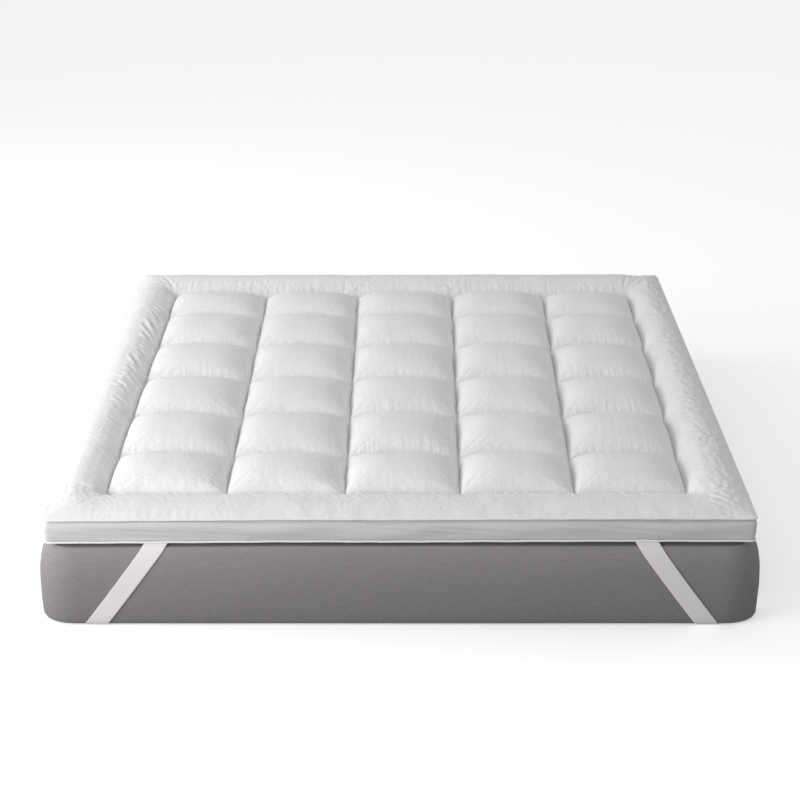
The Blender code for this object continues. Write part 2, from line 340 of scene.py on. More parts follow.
def crease(x: np.ndarray, y: np.ndarray, first: tuple, last: tuple, depth: float, width: float) -> np.ndarray:
    """A soft straight crease with a low ridge on each side.

    Args:
        x: Each point's x.
        y: Each point's y.
        first: x and y of one end.
        last: x and y of the other end.
        depth: Its depth, in mm.
        width: Half its width, in mm.

    Returns:
        The height that it adds, in metres.
    """
    run = np.subtract(last, first)
    length = math.hypot(*run)
    from_x, from_y = x - first[0], y - first[1]
    along = (from_x * run[0] + from_y * run[1]) / length ** 2
    across = (from_x * run[1] - from_y * run[0]) / length / (width * MM)
    fade = np.clip(4 * along * (1 - along), 0, 1) ** 0.7
    sides = np.exp(-(across - 1.6) ** 2) + np.exp(-(across + 1.6) ** 2)
    return depth * MM * fade * (0.5 * sides - np.exp(-across ** 2))


def rise(away: np.ndarray, peak: np.ndarray | float) -> np.ndarray:
    """0 at a seam, 1 at the peak's distance from it, and fading beyond."""
    share = np.maximum(away, 0) / peak
    return share * np.exp(1 - share)


def curve(at: np.ndarray, knots: Sequence[float], values: Sequence[float]) -> np.ndarray:
    """A smooth curve through these values.

    Args:
        at: Where the curve is wanted.
        knots: Where its values lie, rising.
        values: Its value at each knot.

    Returns:
        The curve's value at each place.
    """
    knots, values = np.asarray(knots), np.asarray(values)
    slopes = np.gradient(values, knots)
    first = np.clip(np.searchsorted(knots, at, side="right") - 1, 0, len(knots) - 2)
    gap = knots[first + 1] - knots[first]
    share = (at - knots[first]) / gap
    start, end = values[first], values[first + 1]
    step_in = slopes[first] * gap * share * (1 - share) ** 2
    step_out = slopes[first + 1] * gap * share ** 2 * (1 - share)
    return start + (end - start) * share ** 2 * (3 - 2 * share) + step_in - step_out


def outward_normals(places: np.ndarray) -> np.ndarray:
    """The unit normal at each point of a laid-out grid, as [row, column, xyz]."""
    normals = np.cross(np.gradient(places, axis=1), np.gradient(places, axis=0))
    return normals / np.maximum(np.linalg.norm(normals, axis=2, keepdims=True), TINY)


@dataclass(frozen=True)
class Plan:
    """The bed's driving sizes. The first three are read from its frame."""

    half_x: float
    half_y: float
    mattress_top: float
    # The shares of the mattress's height between which the topper's weight comes to press its side down.
    pressed_from: float = 0.60
    pressed_over: float = 0.35
    piping_radius: float = 2.8 * MM
    upper_seam: float = 0.2970
    lower_seam: float = 0.2355
    topper_base: float = 0.2305
    topper_corner: float = 0.010
    # x, and how far the topper's edge lies above or below its nominal height at the foot and at the head.
    sag: tuple = (
        (-0.90, -0.0040, 0.0005),
        (-0.60, -0.0025, 0.0000),
        (-0.30, 0.0000, -0.0010),
        (0.00, -0.0005, -0.0010),
        (0.30, 0.0010, 0.0000),
        (0.60, 0.0020, 0.0005),
        (0.90, 0.0010, 0.0010),
    )

    @classmethod
    def from_frame(cls) -> "Plan":
        """Reads the bed's half width, half length and mattress height from the frame."""
        _, piping_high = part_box("piping_top")
        _, mattress_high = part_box("mattress")
        radius = cls.piping_radius
        return cls(piping_high.x - radius, piping_high.y - radius, mattress_high.z)

    def edge_sag(self, x: np.ndarray, y: np.ndarray) -> np.ndarray:
        """How far the topper's edge lies above or below its nominal height at these places."""
        places, at_foot, at_head = (np.array(column) for column in zip(*self.sag))
        share = 0.5 + y / (2 * self.half_y)
        return np.interp(x, places, at_foot) * (1 - share) + np.interp(x, places, at_head) * share

    def pressed(self, x: np.ndarray, y: np.ndarray, z: np.ndarray) -> np.ndarray:
        """The height of places on the mattress's side, once the topper's edge presses its top down.

        Args:
            x: Each place's x.
            y: Each place's y.
            z: Its height before that.

        Returns:
            Each place's height.
        """
        top_share = np.clip((z / self.mattress_top - self.pressed_from) / self.pressed_over, 0, 1)
        return z + np.minimum(self.edge_sag(x, y), 0) * top_share ** 2

    def round_way(self, radius: float) -> float:
        """The length of the bed's outline with corners of this radius."""
        straight = 4 * (self.half_x + self.half_y - 2 * radius)
        return straight + 2 * math.pi * radius

    def outline(self, way: np.ndarray, radius: float, outward: np.ndarray | float = 0.0) -> tuple:
        """Places on the bed's rounded outline, counter-clockwise from the middle of the head end.

        Args:
            way: Distance round the outline.
            radius: Radius of its corners.
            outward: How far out of the outline each place lies.

        Returns:
            x, y, and the x of the way out.
        """
        a, b, arc = self.half_x - radius, self.half_y - radius, math.pi * radius / 2
        stretches = (0, a, arc, 2 * b, arc, 2 * a, arc, 2 * b, arc, a)
        knots = np.cumsum(stretches)
        centre_x = np.interp(way, knots, (0, -a, -a, -a, -a, a, a, a, a, 0))
        centre_y = np.interp(way, knots, (b, b, b, -b, -b, -b, -b, b, b, b))
        angle = np.radians(np.interp(way, knots, (90, 90, 180, 180, 270, 270, 360, 360, 450, 450)))
        out_x, out_y = np.cos(angle), np.sin(angle)
        return centre_x + (radius + outward) * out_x, centre_y + (radius + outward) * out_y, out_x


# ---------------------------------------------------------------------------------------------------------
# Finishes
# ---------------------------------------------------------------------------------------------------------


@dataclass(frozen=True)
class Finish:
    """What the finishes share: a matt shader with its constants, and cloth's soft sheen."""

    name: str
    colour: str
    roughness: float
    sheen: float = 0.0
    sheen_roughness: float = 0.5
    specular: float = 0.3
    glow: float = 0.0

    def material(self) -> bpy.types.Material:
        """The finish as a material, made when it is first asked for."""
        known = bpy.data.materials.get(self.name)
        if known:
            return known
        made = bpy.data.materials.new(self.name)
        made.use_nodes = True
        tree = made.node_tree
        shader = tree.nodes["Principled BSDF"]
        constants = {
            "Base Color": linear(self.colour),
            "Roughness": self.roughness,
            "Sheen Weight": self.sheen,
            "Sheen Roughness": self.sheen_roughness,
            "Specular IOR Level": self.specular,
            "Emission Color": linear(self.colour),
            "Emission Strength": self.glow,
        }
        for socket, value in constants.items():
            shader.inputs[socket].default_value = value
        self.pattern(tree, shader)
        return made

    def pattern(self, tree: bpy.types.NodeTree, shader: bpy.types.Node) -> None:
        """Adds the finish's own colour and relief. The plain finish has none."""


@dataclass(frozen=True)
class Cloth(Finish):
    """A finish with a relief, and mostly a second shade, laid out in metres on the flat cloth."""

    shade: str = "FFFFFF"

    def weave(self, tree: bpy.types.NodeTree, flat: bpy.types.NodeSocket) -> tuple:
        """The pattern, which each kind of cloth gives.

        Args:
            tree: The material's node tree.
            flat: The place on the flat cloth.

        Returns:
            The share of the second shade, or None, and each relief's height and depth.
        """
        raise NotImplementedError

    def pattern(self, tree: bpy.types.NodeTree, shader: bpy.types.Node) -> None:
        """Mixes in the second shade and lays the reliefs over each other.

        Args:
            tree: The material's node tree.
            shader: Its shader node.
        """
        flat = add_node(tree, "ShaderNodeUVMap", uv_map="flat").outputs["UV"]
        share, reliefs = self.weave(tree, flat)
        if share is not None:
            colours = {0: share, 6: linear(self.colour), 7: linear(self.shade)}
            mixed = add_node(tree, "ShaderNodeMix", colours, data_type="RGBA")
            tree.links.new(mixed.outputs[2], shader.inputs["Base Color"])
        below = {}
        for height, depth in reliefs:
            bump = add_node(tree, "ShaderNodeBump", {"Height": height, "Distance": depth, **below})
            below = {"Normal": bump.outputs["Normal"]}
        tree.links.new(below["Normal"], shader.inputs["Normal"])


@dataclass(frozen=True)
class BrushedCotton(Cloth):
    """Plain-woven cotton, brushed on its face: matt, with a faint bloom and fine ribs along the cloth."""

    shade: str = "E4E4E5"
    rib_pitch: float = 4.5 * MM  # the real threads lie 0.3 mm apart, too fine to show
    rib_depth: float = 0.045 * MM
    crinkle: float = 7.5 * MM  # size of the dry creases that are too small for the mesh
    crinkle_depth: float = 0.80 * MM
    cloud: float = 110 * MM  # size of the patches that are a little darker

    def weave(self, tree: bpy.types.NodeTree, flat: bpy.types.NodeSocket) -> tuple:
        """Fine ribs, a dry crinkle and a cloudy change of shade.

        Args:
            tree: The material's node tree.
            flat: The place on the flat cloth.

        Returns:
            The share of the second shade, and each relief's height and depth.
        """
        ribs = add_node(
            tree, "ShaderNodeTexWave",
            {"Vector": flat, "Scale": WAVE_PERIOD / self.rib_pitch, "Distortion": 0.6, "Detail Scale": 3.0},
            bands_direction="X",
        ).outputs["Fac"]
        crinkle = add_node(
            tree, "ShaderNodeTexNoise",
            {"Vector": flat, "Scale": 1 / self.crinkle, "Detail": 4.0, "Roughness": 0.62, "Distortion": 0.4},
        ).outputs["Fac"]
        clouds = add_node(
            tree, "ShaderNodeTexNoise",
            {"Vector": flat, "Scale": 1 / self.cloud, "Detail": 3.0, "Roughness": 0.6},
        ).outputs["Fac"]
        cloudy = add_node(
            tree, "ShaderNodeMapRange", {"Value": clouds, "From Min": 0.35, "From Max": 0.75, "To Max": 0.35},
        ).outputs["Result"]
        return cloudy, [(ribs, self.rib_depth), (crinkle, self.crinkle_depth)]


@dataclass(frozen=True)
class SatinCotton(Cloth):
    """Satin-woven cotton of the side band: smoother and a little greyer, with long soft streaks."""

    shade: str = "C4C2C3"
    streak: float = 35 * MM
    streak_depth: float = 0.25 * MM
    streak_squeeze: float = 0.16  # a streak's width as a share of its length

    def weave(self, tree: bpy.types.NodeTree, flat: bpy.types.NodeSocket) -> tuple:
        """Streaks along the band, in shade and in relief.

        Args:
            tree: The material's node tree.
            flat: The place on the flat cloth.

        Returns:
            The share of the second shade, and each relief's height and depth.
        """
        drawn = add_node(
            tree, "ShaderNodeMapping", {"Vector": flat, "Scale": (self.streak_squeeze, 1.0, 1.0)},
        ).outputs["Vector"]
        streaks = add_node(
            tree, "ShaderNodeTexNoise", {"Vector": drawn, "Scale": 1 / self.streak, "Detail": 4.0},
        ).outputs["Fac"]
        soft = add_node(
            tree, "ShaderNodeMapRange", {"Value": streaks, "From Min": 0.3, "From Max": 0.75, "To Max": 0.5},
        ).outputs["Result"]
        return soft, [(streaks, self.streak_depth)]


@dataclass(frozen=True)
class BiasCotton(Cloth):
    """Cotton cut on the bias and sewn round a cord: its threads run slantwise round the piping."""

    thread_pitch: float = 1.6 * MM  # drawn three times as coarse as real, so that it shows
    thread_depth: float = 0.10 * MM

    def weave(self, tree: bpy.types.NodeTree, flat: bpy.types.NodeSocket) -> tuple:
        """Slanting threads.

        Args:
            tree: The material's node tree.
            flat: The place on the flat cloth.

        Returns:
            None, because it has no second shade, and the relief's height and depth.
        """
        threads = add_node(
            tree, "ShaderNodeTexWave",
            {"Vector": flat, "Scale": WAVE_PERIOD / self.thread_pitch, "Distortion": 0.5},
            bands_direction="DIAGONAL",
        ).outputs["Fac"]
        return None, [(threads, self.thread_depth)]


@dataclass(frozen=True)
class WovenElastic(Cloth):
    """Woven elastic tape: ribs along it over rubber cores, crossed by the weft's fine picks."""

    shade: str = "DEDADB"
    pick_pitch: float = 2.2 * MM  # the real picks lie 0.8 mm apart, too fine to show
    pick_depth: float = 0.16 * MM

    def weave(self, tree: bpy.types.NodeTree, flat: bpy.types.NodeSocket) -> tuple:
        """Picks across the tape, darker between them.

        Args:
            tree: The material's node tree.
            flat: The place on the flat cloth.

        Returns:
            The share of the second shade, and each relief's height and depth.
        """
        picks = add_node(
            tree, "ShaderNodeTexWave",
            {"Vector": flat, "Scale": WAVE_PERIOD / self.pick_pitch, "Distortion": 1.2, "Detail Scale": 4.0},
            bands_direction="Y",
        ).outputs["Fac"]
        gaps = add_node(
            tree, "ShaderNodeMapRange", {"Value": picks, "To Min": 0.75, "To Max": 0.0},
        ).outputs["Result"]
        return gaps, [(picks, self.pick_depth)]


@dataclass(frozen=True)
class KnittedTicking(Cloth):
    """Close-knitted grey polyester ticking: matt, with the knit's columns and a slight marl of its yarns.

    Painted shade makes it a little darker towards the floor, and a painted shadow makes it dark along the
    edge that the topper covers. On its UV map, the second number is the height over the floor before the
    topper presses that edge down.
    """

    # the second shade: the marl's darker yarn, and the colour of the painted shade and painted shadow
    shade: str = "6B6869"
    tall: float = 0.23  # the height over which the painted shade turns darker towards the floor
    painted_floor_shade: float = 0.42  # the share of the second shade that the painted shade adds at the floor
    edge: tuple = (0.2212, 0.2234)  # the heights between which the painted shadow under the covered edge turns dark
    marl: float = 22 * MM  # the marl's longest flecks, which lie along the bed's side
    wale_pitch: float = 3.2 * MM  # the real wales lie 0.9 mm apart, too fine to show
    wale_depth: float = 0.12 * MM

    def weave(self, tree: bpy.types.NodeTree, flat: bpy.types.NodeSocket) -> tuple:
        """The knit's relief, its marl, the painted shade of the foot and the painted shadow along the covered
        edge.

        Args:
            tree: The material's node tree.
            flat: The place on the flat cloth.

        Returns:
            The share of the second shade, and each relief's height and depth.
        """
        wales = add_node(
            tree, "ShaderNodeTexWave",
            {"Vector": flat, "Scale": WAVE_PERIOD / self.wale_pitch, "Distortion": 0.8, "Detail Scale": 2.0},
            bands_direction="X",
        ).outputs["Fac"]
        drawn = add_node(
            tree, "ShaderNodeMapping", {"Vector": flat, "Scale": (1.0, 2.5, 1.0)},
        ).outputs["Vector"]
        marl = add_node(
            tree, "ShaderNodeTexNoise",
            {"Vector": drawn, "Scale": 1 / self.marl, "Detail": 6.0, "Roughness": 0.7},
        ).outputs["Fac"]
        mixed = add_node(
            tree, "ShaderNodeMapRange",
            {"Value": marl, "From Min": 0.25, "From Max": 0.75, "To Min": 0.12, "To Max": 0.38},
        ).outputs["Result"]
        height = add_node(tree, "ShaderNodeSeparateXYZ", {"Vector": flat}).outputs["Y"]
        # painted shade: the ticking turns darker towards the floor
        low = add_node(
            tree, "ShaderNodeMapRange",
            {"Value": height, "From Max": self.tall, "To Min": self.painted_floor_shade, "To Max": 0.0},
        ).outputs["Result"]
        # painted shadow: dark along the edge that lies in the gap under the topper's lower piping
        covered = add_node(
            tree, "ShaderNodeMapRange", {"Value": height, "From Min": self.edge[0], "From Max": self.edge[1]},
        ).outputs["Result"]
        share = mixed
        for more in (low, covered):
            share = add_node(tree, "ShaderNodeMath", {0: share, 1: more}, operation="ADD").outputs["Value"]
        return share, [(wales, self.wale_depth)]


# The thread is smooth twisted filament, which shines a little more than the cloth. The paper is rolled flat
# and quite dull, and glows a little so that it comes near pure white.
COVER_COTTON = BrushedCotton("brushed cotton cover", "F4F4F4", 0.92, sheen=0.08, specular=0.2)
BAND_COTTON = SatinCotton("satin cotton band", "DEDCDD", 0.62, sheen=0.05)
PIPING_COTTON = BiasCotton("bias cotton piping", "F6F5F5", 0.85, sheen=0.05)
STRAP_ELASTIC = WovenElastic("woven elastic tape", "FCF8F9", 0.85)
MATTRESS_TICKING = KnittedTicking("knitted polyester ticking", "A29E9F", 0.9, sheen=0.04)
SEWING_THREAD = Finish("polyester sewing thread", "EDECEC", 0.55)
PAPER_FLOOR = Finish("pale studio paper", "FAFAFA", 0.95, specular=0.1, glow=0.42)


# ---------------------------------------------------------------------------------------------------------
# The quilted top
# ---------------------------------------------------------------------------------------------------------


@dataclass(frozen=True)
class Cut:
    """How one axis of the top is divided: border, boxes, border, each cut into steps finer at its seams."""

    boxes: int
    box_steps: int
    border_steps: int
    tightening: float = 0.30

    @property
    def steps(self) -> list[int]:
        """The steps of each section, from one outer edge to the other."""
        return [self.border_steps, *[self.box_steps] * self.boxes, self.border_steps]

    def stations(self) -> tuple[np.ndarray, np.ndarray]:
        """The section that each grid line lies in, and its share of the way across that section."""
        sections, shares = [], []
        for section, count in enumerate(self.steps):
            even = np.arange(count) / count
            sections += [section] * count
            shares += list(even - self.tightening * np.sin(2 * math.pi * even) / (2 * math.pi))
        return np.array([*sections, sections[-1]]), np.array([*shares, 1.0])

    def seams(self) -> np.ndarray:
        """The numbers of the grid lines that are sewn or bound: the outer edges and each seam."""
        return np.cumsum([0, *self.steps])

    def finer(self, factor: int) -> "Cut":
        """The same division with this many times the steps."""
        return Cut(self.boxes, self.box_steps * factor, self.border_steps * factor, self.tightening)


@dataclass(frozen=True)
class Puff:
    """A filled cross-section between two seams: where its crown lies, and how full each flank is.

    A flank is fuller the lower its number: 0.3 leaves the seam steeply, 0.8 slopes down to it.
    """

    peak: float = 0.5
    near: float = 0.45
    far: float = 0.45
    far_turn: float = 2.0  # above 2, the far flank stays level for longer and then falls away

    def height(self, share: np.ndarray) -> np.ndarray:
        """The height at this share of the width, from 0 at the seams to 1 at the crown."""
        before = share < self.peak
        away = np.where(before, (self.peak - share) / self.peak, (share - self.peak) / (1 - self.peak))
        turn = np.where(before, 2.0, self.far_turn)
        return np.clip(1 - away ** turn, 0, None) ** np.where(before, self.near, self.far)


def refine(lines: np.ndarray, cut: Cut, factor: int) -> np.ndarray:
    """Adds smooth points between grid lines along the first axis, with a sharp turn left at each seam.

    Args:
        lines: An array whose first axis runs over the cut's grid lines.
        cut: How that axis is divided.
        factor: How many steps each step becomes.

    Returns:
        The array with that many times the steps.
    """
    parts = []
    seams = cut.seams()
    for low, high in zip(seams, seams[1:]):
        block = lines[low:high + 1]
        before = 3 * block[0] - 3 * block[1] + block[2]
        after = 3 * block[-1] - 3 * block[-2] + block[-3]
        padded = np.concatenate([before[None], block, after[None]])
        p0, p1, p2, p3 = padded[:-3], padded[1:-2], padded[2:-1], padded[3:]
        steps = []
        for step in range(factor):
            t = step / factor
            bend = (2 * p0 - 5 * p1 + 4 * p2 - p3) * t + (3 * p1 - p0 - 3 * p2 + p3) * t * t
            steps.append(p1 + 0.5 * t * ((p2 - p0) + bend))
        parts.append(np.stack(steps, axis=1).reshape(-1, *lines.shape[1:]))
    return np.concatenate([*parts, lines[-1:]])


@dataclass
class QuiltedTop:
    """The topper's puffed top: five columns of six sewn boxes inside a wide unquilted border.

    The border and each column are closed pieces of their own, which meet in the seams.
    """

    plan: Plan
    seam_height: float = 0.2895
    rim_lift: float = 0.0016  # the cover meets the piping this far above the cord's middle
    rim_tuck: float = 0.0085  # and turns in under it this far, behind the side band
    easing_rounds: int = 60  # how often the grid's lines are evened out at the topper's corners
    foot_share: float = 0.996  # the size of a piece's underside, as a share of its size at the seams
    # How far the seams wander, over what length, and how near the rim this starts to fade.
    seam_wander: float = 0.0016
    wander_length: float = 0.055
    wander_fade: float = 0.06
    # The filling's unevenness: height, size and seed of its lumps.
    lumps: tuple = ((0.0014, 0.085, 11), (0.0008, 0.032, 12))
    # How deep the cloth is drawn in right at a seam between columns or beside the border, and at a row's.
    column_crevice: float = 0.0080
    row_crevice: float = 0.0022
    crevice_reach: float = 0.0085
    # Seams between the columns: x at half length, and how far x leans for each metre of y.
    columns: tuple = (
        (-0.765, 0.000), (-0.453, 0.000), (-0.144, 0.000), (0.167, 0.012), (0.471, 0.018), (0.762, 0.018),
    )
    rows: tuple = (-0.822, -0.593, -0.307, -0.020, 0.268, 0.560, 0.795)
    # Height of the boxes' crowns over their seams, by column, and the share of it that each row has.
    column_crowns: tuple = (0.049, 0.047, 0.049, 0.049, 0.046)
    row_shares: tuple = (0.92, 1.00, 0.97, 1.02, 0.98, 0.90)
    box_across: Puff = Puff(peak=0.36, near=0.46, far=0.72, far_turn=4.0)
    box_along: Puff = Puff(peak=0.50, near=0.42, far=0.42)
    # The border's crown over the line from its inner seam to its rim, and its form from that seam outwards.
    border_crowns: tuple = ((Side.LEFT, 0.030), (Side.RIGHT, 0.029), (Side.FOOT, 0.014), (Side.HEAD, 0.029))
    border_forms: tuple = (
        (Side.LEFT, Puff(peak=0.40, near=0.72, far=0.52)),
        (Side.RIGHT, Puff(peak=0.35, near=0.50, far=0.70, far_turn=2.6)),
        (Side.FOOT, Puff(peak=0.58, near=1.00, far=0.50)),
        (Side.HEAD, Puff(peak=0.42, near=0.55, far=0.50)),
    )
    # The share by which the border is flatter at the foot end's corners, and how far that reaches.
    corner_fall: float = 0.45
    fall_reach: tuple = ((Side.LEFT, 0.19), (Side.RIGHT, 0.11))
    # How far the border's inner seam bows out beside each row of boxes, from the foot end, in mm.
    bows_left: tuple = (2.0, 4.0, 3.0, 2.0, 1.0, 1.5)
    bows_right: tuple = (3.0, 4.0, 3.5, 3.5, 3.0, 1.5)
    # Pits where seams cross: depth, and reach along and across the row's seam, all in mm.
    crossing_pit: tuple = (6.0, 20.0, 15.0)
    left_pit: tuple = (31.0, 26.0, 11.0)
    right_pit: tuple = (6.0, 20.0, 14.0)
    pit_outward: float = 13.0 * MM  # reach of a pit into the border
    corner_fade: float = 0.03  # how far past the boxes' corners the border's gathers run on
    # Steps of the simulated cloth, about 10 mm each, and how many times finer the finished mesh is.
    across: Cut = Cut(boxes=5, box_steps=31, border_steps=13)
    along: Cut = Cut(boxes=6, box_steps=26, border_steps=14)
    factor: int = 3
    # The simulated cloth.
    slack: float = 0.004  # share by which the cut cloth is larger than the puffed form needs
    pressure: float = 8.0
    frames: int = 18
    most_moved: float = 0.008
    # How strongly each box's front edge is puckered: a row for each row of boxes from the foot end.
    front_puckers: tuple = (
        (0.325, 0.260, 0.325, 0.260, 0.325),
        (0.715, 0.455, 1.170, 0.390, 1.040),
        (0.585, 0.390, 0.780, 0.455, 1.300),
        (0.910, 0.390, 0.780, 0.585, 1.300),
        (0.780, 0.325, 0.455, 0.650, 1.170),
        (0.260, 0.260, 0.390, 0.390, 0.520),
    )
    # The same for the edges on each column's right, and for every box's back and left edge.
    right_puckers: tuple = (0.55, 0.70, 0.75, 0.60, 0.45)
    back_pucker: float = 0.30
    left_pucker: float = 0.15
    pucker_waves: tuple = ((0.022, 0.80), (0.012, 0.95))  # pitch, and height in mm
    # The boxes' own crinkle: its width, length and height, and how near a seam it fades.
    box_crinkle: tuple = (0.011, 0.026, 0.25 * MM, 0.03)
    # Gathers of the border beside its inner seam: strength, lean, reach and broadest pitch.
    gathers: tuple = (
        (Side.LEFT, 0.65, 1.3, 0.018, 0.038),
        (Side.RIGHT, 0.45, 0.6, 0.014, 0.030),
        (Side.FOOT, 2.40, 0.5, 0.010, 0.022),
        (Side.HEAD, 0.80, 0.0, 0.022, 0.034),
    )
    gather_waves: tuple = ((1.0, 1.0), (0.5, 0.6))  # share of the broadest pitch, and height in mm
    gather_run: tuple = (1.1, 2.4)  # how far before the middle a row of gathers starts, and its length
    # The border's crinkle, broad and fine: how its ridges lean in x and y, their width, length and seed, the
    # least share of it anywhere, the size of the patches of more, and its height in mm on the right, on the
    # left, on the two ends and in the left border's patch.
    crinkles: tuple = (
        (0.30, -0.20, 0.015, 0.030, 31, 0.55, 0.09, (2.5, 0.3, 0.4, 0.0)),
        (-0.25, 0.30, 0.009, 0.015, 33, 0.60, 0.06, (1.9, 0.3, 1.8, 1.3)),
    )
    crinkle_right: tuple = (0.035, 0.04)  # where it starts on the right border, and over what width it grows
    crinkle_left: float = 0.05  # over what width it grows on the left border
    crinkle_ends: float = 0.030  # how far from the seam it is strongest on the two ends
    crinkle_calm: tuple = (0.8, 0.09)  # the share that is missing at a corner, and how far that reaches
    crinkle_patch: tuple = (-0.845, -0.490, 0.075)  # x, y and reach of the left border's crinkled patch
    # Creases of the left border: y and distance from the inner seam of each one's lower end, its run
    # outwards and towards the head, its depth and half its width; all but y in mm.
    left_creases: tuple = (
        (0.660, 4, 24, 16, 3.77, 5.0),
        (0.618, 6, 26, 30, 5.07, 5.0),
        (0.560, 4, 34, 62, 5.72, 5.5),
        (0.535, 22, 30, 26, 4.03, 5.5),
        (0.470, 6, 38, 80, 4.81, 5.5),
        (0.410, 12, 36, 66, 5.07, 6.0),
        (0.352, 5, 44, 134, 7.80, 7.0),
        (0.322, 16, 46, 112, 8.06, 6.5),
        (0.285, 18, 34, 70, 6.50, 6.5),
        (0.238, 8, 30, 44, 4.55, 5.5),
        (0.200, 24, 30, 22, 5.46, 6.0),
        (0.120, 8, 40, 84, 5.85, 6.0),
        (0.045, 22, 40, 100, 8.06, 7.0),
        (0.000, 30, 30, 40, 6.11, 6.5),
        (-0.045, 36, 34, 12, 5.46, 6.0),
        (-0.080, 12, 36, 60, 5.07, 6.0),
        (-0.130, 42, 34, 36, 6.11, 6.5),
        (-0.190, 10, 40, 52, 5.07, 6.0),
        (-0.250, 28, 34, 32, 5.07, 6.0),
        (-0.330, 14, 36, 40, 4.03, 5.5),
        (-0.400, 26, 30, 24, 3.64, 5.5),
    )
    # Creases at the border's corners: both ends' x and y, then depth and half width in mm.
    corner_creases: tuple = (
        (0.772, -0.872, 0.862, -0.956, 1.8, 6.0),
        (0.800, -0.862, 0.872, -0.940, 1.5, 5.5),
        (0.756, -0.902, 0.836, -0.966, 1.4, 5.5),
        (0.782, 0.812, 0.868, 0.836, 2.4, 5.5),
        (0.782, 0.822, 0.862, 0.884, 3.0, 6.0),
        (0.778, 0.832, 0.838, 0.930, 2.8, 6.0),
        (0.764, 0.836, 0.786, 0.942, 2.2, 5.5),
        (-0.775, 0.815, -0.862, 0.866, 2.6, 6.0),
        (-0.772, 0.830, -0.826, 0.934, 2.4, 5.5),
        (-0.785, -0.850, -0.858, -0.900, 1.1, 6.5),
        (-0.775, -0.875, -0.826, -0.950, 0.9, 6.5),
    )

    # -- layout ---------------------------------------------------------------------------------------

    def layout(self) -> dict[str, np.ndarray]:
        """Where each grid line runs before the cloth is puffed.

        Returns:
            x, y, and the section and share of each point on both axes, all as [row, column].
        """
        section_x, share_x = self.across.stations()
        section_y, share_y = self.along.stations()
        section_x, section_y = np.meshgrid(section_x, section_y)
        share_x, share_y = np.meshgrid(share_x, share_y)
        rim_x, rim_y = self.plan.half_x, self.plan.half_y

        rows = np.array([-rim_y, *self.rows, rim_y])
        y = rows[section_y] + (rows[section_y + 1] - rows[section_y]) * share_y
        inside = np.clip(section_y - 1, 0, len(self.rows) - 2)
        in_panel = (section_y >= 1) & (section_y <= len(self.rows) - 1)
        bow = np.where(in_panel, np.sin(math.pi * share_y), 0.0) * MM
        seams = [x + lean * y for x, lean in self.columns]
        seams[0] = seams[0] - np.array(self.bows_left)[inside] * bow
        seams[-1] = seams[-1] + np.array(self.bows_right)[inside] * bow
        lines = np.array([np.full_like(y, -rim_x), *seams, np.full_like(y, rim_x)])
        row, column = np.indices(y.shape)
        low, high = lines[section_x, row, column], lines[section_x + 1, row, column]
        x = low + (high - low) * share_x
        to_rim = np.clip(np.minimum(rim_x - np.abs(x), rim_y - np.abs(y)) / self.wander_fade, 0, 1)
        x, y = (
            place + self.seam_wander * to_rim * soft_noise(x, y, self.wander_length, seed)
            for place, seed in ((x, 5), (y, 6))
        )
        return {"x": x, "y": y, "section_x": section_x, "section_y": section_y,
                "share_x": share_x, "share_y": share_y}

    def outer_share(self, section: np.ndarray, share: np.ndarray, last: int) -> np.ndarray:
        """0 inside the panel, and up to 1 from the panel's edge to the topper's."""
        return np.where(section == 0, 1 - share, np.where(section == last, share, 0.0))

    def round_rim(self, places: np.ndarray) -> None:
        """Rounds the outermost line of the grid at the topper's corners, and eases the lines inside it.

        Args:
            places: The grid's places, which are changed.
        """
        radius = self.plan.topper_corner
        a, b = self.plan.half_x - radius, self.plan.half_y - radius
        rim = np.zeros(places.shape[:2], bool)
        rim[[0, -1]] = rim[:, [0, -1]] = True
        x, y = places[rim, 0], places[rim, 1]
        core_x, core_y = np.clip(x, -a, a), np.clip(y, -b, b)
        away = np.hypot(x - core_x, y - core_y)
        reach = radius / away
        places[rim, 0] = core_x + (x - core_x) * reach
        places[rim, 1] = core_y + (y - core_y) * reach
        wide, long = self.across.border_steps, self.along.border_steps
        for rows in (slice(0, long + 1), slice(-long - 1, None)):
            for columns in (slice(0, wide + 1), slice(-wide - 1, None)):
                corner = places[rows, columns, :2]
                for _ in range(self.easing_rounds):
                    corner[1:-1, 1:-1] = (corner[:-2, 1:-1] + corner[2:, 1:-1]
                                          + corner[1:-1, :-2] + corner[1:-1, 2:]) / 4

    def puffed(self) -> np.ndarray:
        """The simulated grid's first form: every box and the border filled, as [row, column, xyz]."""
        at = self.layout()
        x, y = at["x"], at["y"]
        last_x, last_y = len(self.columns), len(self.rows)
        across = self.outer_share(at["section_x"], at["share_x"], last_x)
        along = self.outer_share(at["section_y"], at["share_y"], last_y)
        lumps = sum(height * soft_noise(x, y, size, seed) for height, size, seed in self.lumps)

        outer = np.maximum(across, along)
        from_panel = np.minimum(1.0, np.hypot(across, along))
        share = from_panel / np.maximum(from_panel + 1 - outer, TINY)
        rim_height = self.plan.upper_seam + self.rim_lift + self.plan.edge_sag(x, y)
        base = self.seam_height + (rim_height - self.seam_height) * outer
        crowns, forms = dict(self.border_crowns), dict(self.border_forms)
        side, end = (
            np.where(low, (crowns[first] + lumps) * forms[first].height(share),
                     (crowns[second] + lumps) * forms[second].height(share))
            for low, first, second in ((x < 0, Side.LEFT, Side.RIGHT), (y < 0, Side.FOOT, Side.HEAD))
        )
        reaches = dict(self.fall_reach)
        reach = np.where(x < 0, reaches[Side.LEFT], reaches[Side.RIGHT])
        fall = self.corner_fall * np.exp(-(self.from_corner(x, y) / reach) ** 2) * (y < 0)
        border = base + (1 - fall) * (side * across + end * along) / np.maximum(across + along, TINY)

